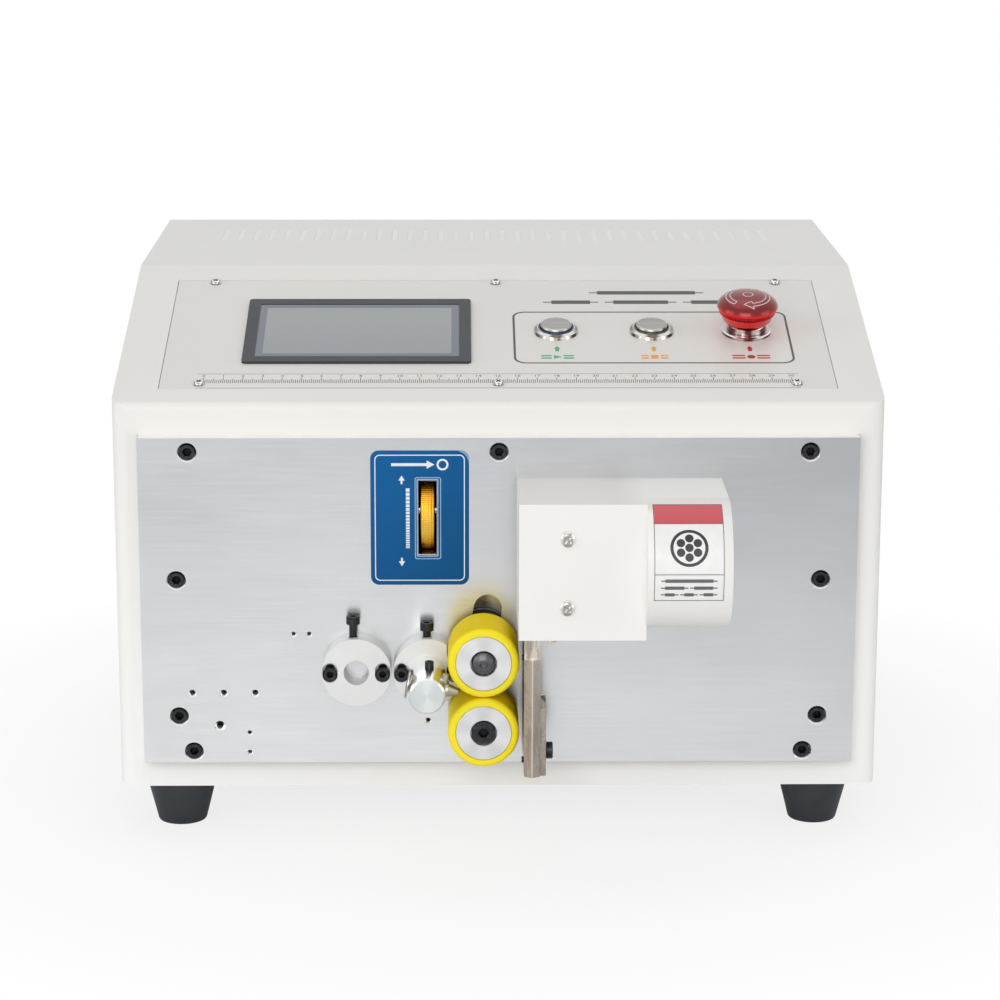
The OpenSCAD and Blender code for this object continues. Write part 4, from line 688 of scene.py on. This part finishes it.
def regular(cu, cv, radius, sides, start=0.0):
    """A regular polygon, or a circle where it has many sides."""
    return arc(cu, cv, radius, start, start + 360, sides)[:-1]


def rounded(left, right, low, high, radius, steps=6):
    """A rectangle with round corners."""
    corners = ((right - radius, high - radius, 0), (left + radius, high - radius, 90),
               (left + radius, low + radius, 180), (right - radius, low + radius, 270))
    return [point for u, v, start in corners for point in arc(u, v, radius, start, start + 90, steps)]


def box_shape(left, right, low, high):
    return [(left, low), (right, low), (right, high), (left, high)]


def band(outer, inner):
    """The quads between two loops with the same number of points."""
    count = len(outer)
    return [[outer[i], outer[(i + 1) % count], inner[(i + 1) % count], inner[i]] for i in range(count)]


def frame_band(edges, inset, line, radii):
    """A line of even width inside a rectangle's edges, with the corner radii of its two sides."""
    loops = []
    for gap, radius in zip((inset, inset + line), radii):
        left, right, low, high = edges
        loops.append(rounded(left + gap, right - gap, low + gap, high - gap, radius))
    return band(*loops)


def stroke(points, width):
    """Quads along a closed line of points."""
    sides = []
    for i, here in enumerate(points):
        before, after = points[i - 1], points[(i + 1) % len(points)]
        du, dv = after[0] - before[0], after[1] - before[1]
        size = math.hypot(du, dv)
        nu, nv = -dv / size * width / 2, du / size * width / 2
        sides.append(((here[0] + nu, here[1] + nv), (here[0] - nu, here[1] - nv)))
    return [[a[0], a[1], b[1], b[0]] for a, b in zip(sides, sides[1:] + sides[:1])]


def divided(points, longest):
    """A closed line of points with its long sides cut into shorter ones."""
    made = []
    for here, after in zip(points, points[1:] + points[:1]):
        count = max(1, math.ceil(math.dist(here, after) / longest))
        made += [tuple(a + (b - a) * i / count for a, b in zip(here, after)) for i in range(count)]
    return made


def arrow(u, v, way=1, stem=(2.0, 3.2), head=(3.3, 3.0)):
    """A broad arrow from u, v up the face, or down it: width and length of its stem and of its head."""
    half, neck, wing, tip = stem[0] / 2, v + stem[1] * way, head[0] / 2, v + (stem[1] + head[1]) * way
    return [(u - half, v), (u + half, v), (u + half, neck), (u + wing, neck), (u, tip), (u - wing, neck),
            (u - half, neck)]


def wire_length(left, right, v, thick, bared, core=1.0):
    """A length of wire seen from the side: its sleeve, and its core bared at both ends."""
    low, high = v - thick / 2, v + thick / 2
    foot, head = v - core / 2, v + core / 2
    inner, outer = left + bared, right - bared
    return [(left, foot), (inner, foot), (inner, low), (outer, low), (outer, foot), (right, foot),
            (right, head), (outer, head), (outer, high), (inner, high), (inner, head), (left, head)]


def number_shapes(text, size, middle, base):
    """The built-in font's outline of a number, as faces of flat points."""
    curve = bpy.data.curves.new("number", "FONT")
    curve.body = text
    curve.size = size
    curve.align_x = "CENTER"
    curve.resolution_u = 2
    holder = bpy.data.objects.new("number", curve)
    bpy.context.scene.collection.objects.link(holder)
    bpy.context.view_layer.update()
    mesh = bpy.data.meshes.new_from_object(holder)
    shapes = [[(mesh.vertices[i].co.x + middle, mesh.vertices[i].co.y + base) for i in face.vertices]
              for face in mesh.polygons]
    bpy.data.objects.remove(holder)
    bpy.data.meshes.remove(mesh)
    bpy.data.curves.remove(curve)
    return shapes


# Pieces

def outward_mesh(made, name):
    """The mesh of finished faces, which all look outward."""
    bmesh.ops.recalc_face_normals(made, faces=made.faces)
    mesh = bpy.data.meshes.new(name)
    made.to_mesh(mesh)
    made.free()
    return mesh


def add_piece(name, mesh, body, slot, material):
    """Links a mesh as a piece that rides on a body."""
    mesh.update()
    piece = bpy.data.objects.new(name, mesh)
    bpy.context.scene.collection.objects.link(piece)
    mesh.materials.append(material)
    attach(piece, body)
    return piece


def printed(name, shapes, surface, material, top=INK, thick=0.04):
    """Flat shapes laid on a surface, as closed solids with their upper faces at the height top."""
    place, body, slot = surface
    keys, outlines = {}, []
    for shape in shapes:
        area = sum(a[0] * b[1] - b[0] * a[1] for a, b in zip(shape, shape[1:] + shape[:1]))
        turned_left = shape if area > 0 else shape[::-1]
        outlines.append([keys.setdefault((round(u, 5), round(v, 5)), len(keys)) for u, v in turned_left])
    count = len(keys)
    sides = {(a, b) for outline in outlines for a, b in zip(outline, outline[1:] + outline[:1])}
    made = bmesh.new()
    verts = [made.verts.new(place(u, v, top - sink)) for sink in (0.0, thick) for u, v in keys]
    faces = outlines + [[i + count for i in outline[::-1]] for outline in outlines]
    faces += [[b, a, a + count, b + count] for a, b in sorted(sides) if (b, a) not in sides]
    for face in faces:
        made.faces.new([verts[i] for i in face])
    return add_piece(name, outward_mesh(made, name), body, slot, material)


def lathed(name, profile, surface, material, steps=64, ripple=None, closed=True, sharp=35):
    """A piece turned from points of radius and height, on an axis that stands on a surface.

    The line of points is closed into a ring of its own, or left open where it starts and ends on the axis.
    ripple(step, number, radius, height) gives a point another radius. Edges above sharp degrees stay sharp.
    """
    place, body, slot = surface
    made = bmesh.new()
    rows = []
    for i in range(steps):
        a = 2 * math.pi * i / steps
        radii = [ripple(i, k, r, h) if ripple else r for k, (r, h) in enumerate(profile)]
        rows.append([made.verts.new(place(r * math.cos(a), r * math.sin(a), h))
                     for r, (_, h) in zip(radii, profile)])
    for i in range(steps):
        here, after = rows[i], rows[(i + 1) % steps]
        for k in range(len(profile) if closed else len(profile) - 1):
            n = (k + 1) % len(profile)
            made.faces.new((here[k], after[k], after[n], here[n]))
    bmesh.ops.remove_doubles(made, verts=made.verts, dist=0.0000005)
    mesh = outward_mesh(made, name)
    piece = add_piece(name, mesh, body, slot, material)
    mesh.shade_smooth()
    mesh.set_sharp_from_angle(angle=math.radians(sharp))
    return piece


# Printing on the panel

RULER_ZERO = -150.4
RULER_STEP = 1.0017
RULER_FEET = 24.4
RULER_BAND = (18.5, 35.2)
RULER_ENDS = (-153.8, 153.7)
RULER_TOP = 0.08
dark_ink = ink("dark_ink", (0.045, 0.045, 0.048))
grey_ink = ink("grey_ink", (0.22, 0.22, 0.22))


def ruler():
    """A clear strip with a 300 mm scale: short, middle and long ticks, and a number each centimetre."""
    strip = paint("ruler_strip", (0.835, 0.815, 0.775), 0.24, 0.000004)
    printed("ruler_strip", [box_shape(*RULER_ENDS, *RULER_BAND)], PANEL, strip, RULER_TOP, RULER_TOP)
    top, edge, half_tick, digit_size, digit_foot = RULER_TOP + 0.02, 0.42, 0.17, 3.4, 31.6
    edges = [box_shape(*RULER_ENDS, v, v + edge) for v in (RULER_BAND[0], RULER_BAND[1] - edge)]
    printed("ruler_edges", edges, PANEL, grey_ink, top)
    ticks, numbers = [], []
    for i in range(301):
        length = 6.3 if i % 10 == 0 else 4.9 if i % 5 == 0 else 3.9
        u = RULER_ZERO + i * RULER_STEP
        ticks.append(box_shape(u - half_tick, u + half_tick, RULER_FEET, RULER_FEET + length))
    printed("ruler_ticks", ticks, PANEL, dark_ink, top)
    for cm in range(31):
        numbers += number_shapes(str(cm), digit_size, RULER_ZERO + cm * 10 * RULER_STEP, digit_foot)
    printed("ruler_numbers", numbers, PANEL, dark_ink, top)


def flanked(u, low, high, width, symbol):
    """A symbol between two pairs of plain bars, width across in all."""
    inner, half_gap = 3.1, 0.7
    middle = (low + high) / 2
    shapes = [symbol]
    for side in (-1, 1):
        ends = sorted((u + side * inner, u + side * width / 2))
        shapes += [box_shape(*ends, low, middle - half_gap), box_shape(*ends, middle + half_gap, high)]
    return shapes


def button_marks():
    """Arrows under the three buttons, each with a plain symbol below it."""
    low, high, arrow_foot = 53.0, 57.4, 62.0
    middle = (low + high) / 2
    triangle = [(START_U - 1.9, low), (START_U + 2.3, middle), (START_U - 1.9, high)]
    square = box_shape(STOP_U - 1.9, STOP_U + 1.9, low, high)
    octagon = regular(EMERGENCY_U, middle, 2.3, 8, 22.5)
    marks = (("start", START_U, 17.0, triangle, ink("green_ink", (0.05, 0.42, 0.17))),
             ("stop", STOP_U, 14.0, square, ink("orange_ink", (0.85, 0.36, 0.04))),
             ("emergency", EMERGENCY_U, 19.6, octagon, ink("red_ink", (0.62, 0.03, 0.04))))
    for name, u, width, symbol, colour in marks:
        printed("mark_" + name, [arrow(u, arrow_foot)] + flanked(u, low, high, width, symbol), PANEL, colour)


def wire_signs():
    """Two rows of wire with bared ends, which is what the machine makes."""
    rows = ((135.6, ((50.2, 112.3),)), (123.4, ((25.2, 55.0), (58.5, 97.0), (100.5, 140.0))))
    shapes = [wire_length(left, right, v, 4.4, 4.5) for v, lengths in rows for left, right in lengths]
    printed("wire_signs", shapes, PANEL, dark_ink)


def panel_outline():
    """The thin frame round the three buttons."""
    printed("button_frame", frame_band((8.4, 154.1, 47.4, 111.2), 0.0, 1.15, (6.5, 5.5)), PANEL, dark_ink)


def display():
    """The lit area of the display, on the pane."""
    left, right, low, high, pane_top, film = -122, -24, 57, 113.3, 0.9, 0.05
    active = screen("display_active", (0.25, 0.268, 0.295), (0.29, 0.305, 0.312), on_slope(0, low).z,
                    on_slope(0, high).z)
    pane = (lambda u, v, h: on_slope(u, v, h + pane_top), "chassis", "display_pane")
    printed("display_active", [rounded(left, right, low, high, 0.8)], pane, active, film, film)


def button_rings():
    """The coloured light rings round the two push buttons."""
    profile = [(8.62, 2.21), (9.4, 2.21), (9.3, 2.5), (8.72, 2.5)]
    for u, colour, name, shade in ((START_U, (0.020, 0.055, 0.13), "start", "ring_blue"),
                                   (STOP_U, (0.10, 0.10, 0.055), "stop", "ring_olive")):
        lathed("ring_" + name, profile, (about(on_slope, u, BUTTON_S), "chassis", "button_steel"),
               ink(shade, colour, 0.25))


ruler()
button_marks()
wire_signs()
panel_outline()
display()
button_rings()


# The stop button's head: points of radius and height above the slope

STOP_TOP = ((16.0, 14.4), (15.98, 14.8), (15.85, 15.3), (15.6, 15.9), (15.1, 16.7), (14.5, 17.35),
            (13.7, 18.0), (12.8, 18.6), (11.8, 19.1), (10.6, 19.55), (9.0, 20.0), (7.0, 20.4), (4.5, 20.7),
            (2.0, 20.87), (0.0, 20.9))
STOP_UNDER = ((0.0, 11.6), (5.1, 11.6), (5.1, 9.3), (11.3, 9.3), (11.3, 6.8), (12.4, 6.8), (12.7, 7.1),
              (13.5, 9.8))
STOP_RIM = ((14.75, 11.2), (14.8, 11.35), (15.65, 13.75), (15.7, 13.9))
STOP_GROOVES = 80
GROOVE_DEPTH = 0.65


def stop_height(radius):
    """Height of the mushroom head's top above the slope, at a radius."""
    for (r0, h0), (r1, h1) in zip(STOP_TOP, STOP_TOP[1:]):
        if radius >= r1:
            return h1 + (h0 - h1) * (radius - r1) / (r0 - r1)
    return STOP_TOP[-1][1]


def on_stop(u, v, h=0.0):
    """A point on the head's top, from its middle."""
    return on_slope(EMERGENCY_U + u, BUTTON_S + v, stop_height(math.hypot(u, v)) + h)


def stop_head():
    """The mushroom head, hollow below, with a fine grip round its rim."""
    grooved = (len(STOP_UNDER) + 1, len(STOP_UNDER) + 2)
    steps = STOP_GROOVES * 4

    def ripple(step, number, radius, height):
        return radius - GROOVE_DEPTH if number in grooved and step % 4 in (2, 3) else radius

    surface = (about(on_slope, EMERGENCY_U, BUTTON_S), "stop_mushroom", "stop_red")
    piece = lathed("stop_cap", STOP_UNDER + STOP_RIM + STOP_TOP, surface,
                   anodised("stop_cap_red", (0.92, 0.012, 0.016)), steps, ripple, closed=False, sharp=38)
    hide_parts("stop_head")


def stop_arrows():
    """Two white outlined arrows that show which way the head turns, round a small outlined octagon."""
    inner, outer, head, line_width = 9.4, 11.5, 1.7, 0.42
    shapes = []
    for start, end, tip in ((228, 72, 48), (38, -80, -106)):
        line = arc(0, 0, outer, start, end, 24)
        for radius, angle in ((outer + head, end), ((inner + outer) / 2, tip), (inner - head, end)):
            line.append((radius * math.cos(math.radians(angle)), radius * math.sin(math.radians(angle))))
        line += arc(0, 0, inner, end, start, 24)
        shapes += stroke(divided(line, 0.7), line_width)
    shapes += stroke(divided(regular(0, 0, 2.7, 8, 22.5), 0.8), 0.45)
    white = ink("stop_white", (0.80, 0.70, 0.70), 0.3)
    printed("stop_arrows", shapes, (on_stop, "stop_mushroom", "stop_red"), white, 0.09)


stop_head()
stop_arrows()


# The blue label on the plate

def label():
    """Blue label with the wheel's window, frames, a fading scale and simple signs."""
    blue = label_film("label_blue", (0.006, 0.115, 0.33), (0.004, 0.078, 0.225))
    white = ink("label_white", (0.80, 0.84, 0.88), 0.35)
    pale = ink("label_pale", (0.22, 0.36, 0.56), 0.3)
    steel_blue = ink("label_line", (0.36, 0.52, 0.70), 0.35)
    thick, corner_radius, steps = 0.25, 4.2, 8

    def round_slot(aside, below, above, radius):
        sides = (SLOT[0] - aside, SLOT[1] + aside)
        return rounded(*sides, SLOT[2] - below, SLOT[3] + above, radius, steps)

    outer = rounded(*LABEL, corner_radius, steps)
    printed("wheel_label", band(outer, round_slot(0.15, 0.4, 0.3, 0.3)), PLATE, blue, thick, thick)
    top = thick + INK
    slot_frame = (-42.4, -29.2, 122.7, 165.1)
    slot_line = frame_band(slot_frame, 0.0, 0.4, (1.1, 0.8))
    slot_line += band(round_slot(0.75, 1.2, 1.1, 0.5), round_slot(0.3, 0.7, 0.6, 0.3))
    printed("label_frame", frame_band(LABEL, 2.1, 0.5, (2.6, 2.2)), PLATE, white, top)
    printed("label_slot_frame", slot_line, PLATE, steel_blue, top)
    scale = []
    scale_left, scale_right, scale_bars, arrow_u = -46.9, -45.0, 21, -49.0
    height = 159.4
    for i in range(scale_bars):
        tall, gap = 1.75 - 0.062 * i, 0.42 - 0.006 * i
        scale.append(box_shape(scale_left, scale_right, height - tall, height))
        height -= tall + gap
    for v, way in ((161.6, 1), (123.4, -1)):
        scale.append(arrow(arrow_u, v, way, (1.0, 1.8), (3.2, 2.6)))
    printed("label_scale", scale, PLATE, white, top)
    sign_height, arrow_start, ring_u = 171.6, -54.2, -28.4
    rightward = arrow(0.0, 0.0, 1, (1.5, 17.8), (4.2, 4.0))
    sign = [[(arrow_start + v, sign_height - u) for u, v in rightward]]
    sign += band(regular(ring_u, sign_height, 3.0, 24), regular(ring_u, sign_height, 2.0, 24))
    printed("label_sign", sign, PLATE, white, top)
    right, high = LABEL[1], LABEL[3]
    corner = arc(right - 4.2, high - 4.2, 4.15, 100, -25, 10)
    corner += arc(right - 6.6, high - 6.6, 6.4, -5, 80, 8)
    printed("label_corner", [corner], PLATE, pale, thick + 0.02)


label()


# The sticker on the round end of the cover: STICKER is its left and right, angles are degrees from the top

BARREL_AXIS = (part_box("blade_cover")[0].y + 32 * MM, BASE_Z + 132.5 * MM)
BARREL_RADIUS = 32.0
DEGREES_PER_MM = math.degrees(1 / BARREL_RADIUS)
STICKER = (73.8, 107.6)
STICKER_TOP, STICKER_BAND, STICKER_LOW_LINE, STICKER_FOOT = 16, 41, 87, 112


def on_barrel(u, angle, h=0.0):
    """A point of the cover's round end: u across, angle in degrees forward from the top."""
    a = math.radians(angle)
    radius = (BARREL_RADIUS + h) * MM
    return Vector((u * MM, BARREL_AXIS[0] - radius * math.sin(a), BARREL_AXIS[1] + radius * math.cos(a)))


def on_sticker(shapes):
    """Shapes in millimetres right of the middle and below the red band, as places on the sticker."""
    middle = sum(STICKER) / 2
    return [[(middle + u, STICKER_BAND + w * DEGREES_PER_MM) for u, w in shape] for shape in shapes]


def curved_strip(left, right, start, end, steps):
    """Narrow rectangles that follow the curve."""
    stops = [start + (end - start) * i / steps for i in range(steps + 1)]
    return [box_shape(left, right, a, b) for a, b in zip(stops, stops[1:])]


def sticker():
    """Plain two-tone sticker with a thin border, the end of a cable with seven strands, and cut wires."""
    barrel = (on_barrel, "chassis", "cover_paint")
    left, right = STICKER
    sheet, steps, top = 0.12, 32, 0.18
    printed("sticker_sheet", curved_strip(left, right, STICKER_TOP, STICKER_FOOT, steps), barrel,
            ink("sticker_white", (0.90, 0.89, 0.87)), sheet, sheet)
    printed("sticker_band", curved_strip(left, right, STICKER_TOP, STICKER_BAND, 10), barrel,
            ink("sticker_red", (0.62, 0.07, 0.09), 0.32), 0.15)
    thin = 0.35
    degrees = thin * DEGREES_PER_MM
    lines = []
    for start in (left, right - thin):
        lines += curved_strip(start, start + thin, STICKER_TOP, STICKER_FOOT, steps)
    for at in (STICKER_TOP, STICKER_BAND, STICKER_LOW_LINE, STICKER_FOOT - degrees):
        lines.append(box_shape(left + thin, right - thin, at, at + degrees))
    printed("sticker_lines", lines, barrel, ink("sticker_line", (0.16, 0.10, 0.10), 0.35), top)
    centre, sleeve, strand_circle, strand = 12.85, (9.2, 7.7), 4.7, (2.05, 1.0)
    cable = band(*(regular(0, centre, radius, 60) for radius in sleeve))
    for u, w in [(0.0, centre)] + regular(0, centre, strand_circle, 6, 30):
        edge, core = (regular(u, w, radius, 24) for radius in strand)
        cable += band(edge, core) + [core]
    printed("sticker_cable", on_sticker(cable), barrel, ink("sticker_dark", (0.022, 0.022, 0.026)), top)
    wires, row_width, half_gap = [], 28.0, 0.4
    for w, count in ((29.0, 1), (32.6, 2), (36.2, 3)):
        stops = [row_width * (i / count - 0.5) for i in range(count + 1)]
        wires += [wire_length(a + half_gap, b - half_gap, w, 1.7, 2.0, 0.6)
                  for a, b in zip(stops, stops[1:])]
    printed("sticker_wires", on_sticker(wires), barrel, ink("sticker_grey", (0.13, 0.13, 0.14)), top)


sticker()


# The tension wheel

def tension_wheel():
    """The wheel behind the label's window, with a crowned band of crossed knurling."""
    low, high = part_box("tension_wheel")
    middle = (low + high) / 2
    radius, half = (high.z - low.z) / 2 / MM, (high.x - low.x) / 2 / MM
    bore, hub, web = 3.05, 7.4, 0.8
    side = [(bore, half), (hub, half), (hub + 0.6, half - web), (radius - 3.6, half - web),
            (radius - 3.0, half), (radius - 0.9, half), (radius - 0.45, half - 0.25)]
    face = half - 0.5
    across = 24
    crown = [face * (2 * k / across - 1) for k in range(across + 1)]
    profile = [(r, -h) for r, h in side] + [(radius - 0.25 * (h / face) ** 2, h) for h in crown] + side[::-1]
    waves, steps, pitch, depth = 120, 720, 1.55, 0.16

    def ripple(step, number, r, h):
        if not len(side) <= number <= len(side) + across:
            return r
        around, along = math.cos(2 * math.pi * waves * step / steps), math.cos(2 * math.pi * h / pitch)
        return r - depth * (2 + around - along) / 4

    def on_wheel(u, v, h):
        return Vector((middle.x + h * MM, middle.y + u * MM, middle.z + v * MM))

    surface = (on_wheel, "tension_unit", "wheel_brass")
    piece = lathed("wheel", profile, surface, finishes["wheel_brass"], steps, ripple, sharp=50)
    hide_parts("tension_wheel")


tension_wheel()


# The spring that presses the rollers together


def pressure_spring():
    """A coil spring with closed ends over the carriage."""
    low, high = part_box("pressure_spring")
    middle = (low + high) / 2
    wire = 0.6
    coil = (high.x - low.x) / 2 / MM - wire
    length = (high.z - low.z) / MM
    turns, per_turn, sides = 6, 28, 10
    closed_turn = 2 * wire + 0.05
    open_turn = (length - 2 * wire - 2 * closed_turn) / (turns - 2)
    made = bmesh.new()
    rings = []
    height = wire
    for i in range(turns * per_turn + 1):
        a = 2 * math.pi * i / per_turn
        ring = []
        for k in range(sides):
            b = 2 * math.pi * k / sides
            r = coil + wire * math.cos(b)
            offset = Vector((r * math.cos(a), r * math.sin(a), height + wire * math.sin(b))) * MM
            ring.append(made.verts.new(Vector((middle.x, middle.y, low.z)) + offset))
        rings.append(ring)
        in_ends = i < per_turn or i >= (turns - 1) * per_turn
        height += (closed_turn if in_ends else open_turn) / per_turn
    for here, after in zip(rings, rings[1:]):
        for k in range(sides):
            made.faces.new((here[k], after[k], after[(k + 1) % sides], here[(k + 1) % sides]))
    made.faces.new(rings[0])
    made.faces.new(rings[-1][::-1])
    mesh = outward_mesh(made, "spring")
    piece = add_piece("spring", mesh, "chassis", "shaft_steel", finishes["shaft_steel"])
    mesh.shade_smooth()
    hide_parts("pressure_spring")
    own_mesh(piece)


pressure_spring()


# Round the front plate

def plate_gap():
    """A thin dark strip in the corner between the plate's edges and the housing: painted shadow, darker
    above and paler towards the bench.
    """
    look = Look("plate_bead", (0.2, 0.19, 0.18), 0.0, 0.7)
    # Painted shadow beside the plate: paler below, darker above.
    pale_below, dark_above = BASE_Z + 40 * MM, BASE_Z + 150 * MM
    painted_light_rise = look.along("Z", pale_below, dark_above)
    uneven = look.spread(look.noise(60.0), -0.15, 0.15, 0.3, 0.7)
    tone = look.mixed(look.plus(painted_light_rise, uneven), (0.42, 0.41, 0.38), (0.05, 0.048, 0.045))
    look.tone(tone)
    look.uneven(0.6, 0.8, 200.0)
    low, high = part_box("front_plate")
    left, right = low.x / MM, high.x / MM
    foot, head = (low.z - BASE_Z) / MM, (high.z - BASE_Z) / MM
    wide, thick = 0.45, 0.3
    depth = (PLATE_FRONT - FRONT_Y) / MM
    shape = [(left - wide, head), (left - wide, foot - wide), (right + wide, foot - wide),
             (right + wide, head), (right, head), (right, foot), (left, foot), (left, head)]
    surface = (on_plate, "chassis", "housing_paint")
    printed("plate_bead", [shape], surface, look.material, depth + thick, thick)


plate_gap()


# Spare holes of the plate: place, height and radius of each bore

HOLES = [(u, 52.0, 1.65) for u in (-156.3, -140.3, -124.3)] + [(u, 83.2, 1.1) for u in (-104.3, -96.4)]
HOLES += [(-127.4, v, 1.1) for v in (20.5, 30.9)] + [(-142.5, 34.7, 2.4), (-36.0, 37.3, 1.25)]
BORE_DEPTH = 7.9


def hole_leads():
    """A short conical lead-in in the mouth of each spare hole, with painted highlight and shade on its
    walls, and a black disc at the end of its bore as painted shade.
    """
    # The lead-ins take the plate's painted highlight and shade on their walls.
    steel = faced_plate("hole_steel", (0.80, 0.80, 0.80), (0.90, 0.90, 0.90))
    dark = rubber("hole_dark", (0.006, 0.006, 0.006), (0.012, 0.012, 0.012), 0.8)
    for number, (u, v, radius) in enumerate(HOLES):
        wall = radius - 0.03
        profile = [(radius + 0.28, -0.04), (radius * 0.72, -1.0), (wall, -1.0), (wall, -0.36)]
        lathed(f"hole_lead_{number}", profile, (about(on_plate, u, v), *PLATE[1:]), steel, 32)
    # Black discs at the ends of the bores: painted shade.
    ends = [regular(u, v, radius - 0.05, 24) for u, v, radius in HOLES]
    printed("hole_ends", ends, PLATE, dark, 0.1 - BORE_DEPTH, 0.1)


hole_leads()


# Behind the openings

VENT_COUNT = 36
VENT_PITCH = 9.0
VENT_FROM_REAR = 66.5


def vent_mat():
    """Pale fibre mat right under the vent slots, with a raised pad in each."""
    fibre = rubber("vent_fibre", (0.955, 0.95, 0.94), (0.91, 0.905, 0.895))
    high = HOUSING_HIGH.z - 2.3 * MM
    middle = HOUSING_HIGH.y - VENT_FROM_REAR * MM

    def on_mat(u, v, h):
        return Vector((u * MM, middle + v * MM, high + h * MM))

    mat = (on_mat, "chassis", "foot_rubber")
    sheet, pads, half_wide, half_long = 1.2, 2.18, 1.45, 20.4
    printed("vent_mat", [rounded(-163, 165, -22, 22, 3.0)], mat, fibre, 0.0, sheet)
    middles = [1 + (i - (VENT_COUNT - 1) / 2) * VENT_PITCH for i in range(VENT_COUNT)]
    shapes = [box_shape(u - half_wide, u + half_wide, -half_long, half_long) for u in middles]
    printed("vent_pads", shapes, mat, fibre, pads, pads + 0.3)


def carriage_seal():
    """Black felt ring with a steel rim round the upper roller's shaft, seen through its slot."""
    felt = rubber("seal_felt", (0.010, 0.010, 0.011), (0.02, 0.02, 0.02), 0.7)
    rim = brushed("seal_rim", (0.34, 0.34, 0.33), "Z")
    middle = middle_of("upper_hub")
    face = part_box("roller_carriage")[0].y
    foot = 0.02

    def on_carriage(u, v, h):
        return Vector((middle.x + u * MM, face - h * MM, middle.z + v * MM))

    for name, inner, outer, top, slot, material in (("felt", 11.2, 14.9, 0.22, "belt_rubber", felt),
                                                    ("rim", 15.0, 15.7, 0.28, "inner_metal", rim),
                                                    ("edge", 15.8, 16.3, 0.16, "belt_rubber", felt)):
        profile = [(inner, foot), (outer, foot), (outer, top), (inner, top)]
        lathed("seal_" + name, profile, (on_carriage, "carriage", slot), material)


vent_mat()
carriage_seal()


# Floor, background and light

def floor():
    """Pale floor that takes the shadow near the machine and fades to plain white further out."""
    look = Look("floor", (0.90, 0.90, 0.90), 0.0, 0.6)
    look.put("Specular IOR Level", 0.2)
    plain = look.node("Emission", Strength=1.0)
    fade = look.spread(look.radial((0, 0, 0), "Z")[1], 0.78, 1.0, 0.22, 0.42)
    seen = look.times(fade, look.node("LightPath").outputs["Is Camera Ray"])
    mix = look.node("MixShader", seen, look.shader.outputs[0], plain.outputs[0])
    look.fill(look.tree.nodes["Material Output"].inputs["Surface"], mix.outputs[0])
    size = 6.0
    mesh = bpy.data.meshes.new("floor")
    mesh.from_pydata([(u, v, 0) for u, v in box_shape(-size, size, -size, size)], [], [(0, 1, 2, 3)])
    mesh.materials.append(look.material)
    plane = bpy.data.objects.new("floor", mesh)
    bpy.context.scene.collection.objects.link(plane)


def world():
    """White for the camera and in reflections, softer as a light."""
    sky = bpy.data.worlds.new("studio")
    bpy.context.scene.world = sky
    sky.use_nodes = True
    nodes, links = sky.node_tree.nodes, sky.node_tree.links
    nodes.clear()
    rays = nodes.new("ShaderNodeLightPath").outputs
    seen = rays["Is Camera Ray"]
    for ray in ("Is Transmission Ray", "Is Glossy Ray"):
        either = nodes.new("ShaderNodeMath")
        either.operation = "MAXIMUM"
        links.new(seen, either.inputs[0])
        links.new(rays[ray], either.inputs[1])
        seen = either.outputs[0]
    mix = nodes.new("ShaderNodeMixShader")
    links.new(seen, mix.inputs[0])
    for number, colour, strength in ((1, (0.96, 0.98, 1.0, 1), 0.44), (2, (1, 1, 1, 1), 1.0)):
        light = nodes.new("ShaderNodeBackground")
        light.inputs["Color"].default_value = colour
        light.inputs["Strength"].default_value = strength
        links.new(light.outputs[0], mix.inputs[number])
    links.new(mix.outputs[0], nodes.new("ShaderNodeOutputWorld").inputs["Surface"])


def lamp(name, place, size, power, target=(0.0, 0.0, 0.13)):
    """A soft square lamp that looks at a point."""
    data = bpy.data.lights.new(name, "AREA")
    data.size = size
    data.energy = power
    light = bpy.data.objects.new(name, data)
    light.location = place
    light.rotation_euler = (Vector(target) - Vector(place)).to_track_quat("-Z", "Y").to_euler()
    bpy.context.scene.collection.objects.link(light)


def studio():
    """Broad light from the front and both sides, and a little from above."""
    lamp("front", (-0.4, -2.6, 1.1), 1.8, 26)
    lamp("left", (-2.2, -0.8, 1.0), 1.4, 9.5)
    lamp("right", (2.2, -1.0, 0.9), 1.4, 7.5)
    lamp("above", (0.0, 0.4, 2.4), 1.8, 7)
    lamp("low", (-0.2, -2.4, 0.3), 0.9, 1.0, (0.0, 0.0, 0.05))


floor()
world()
studio()
bpy.context.scene.view_settings.view_transform = "Standard"
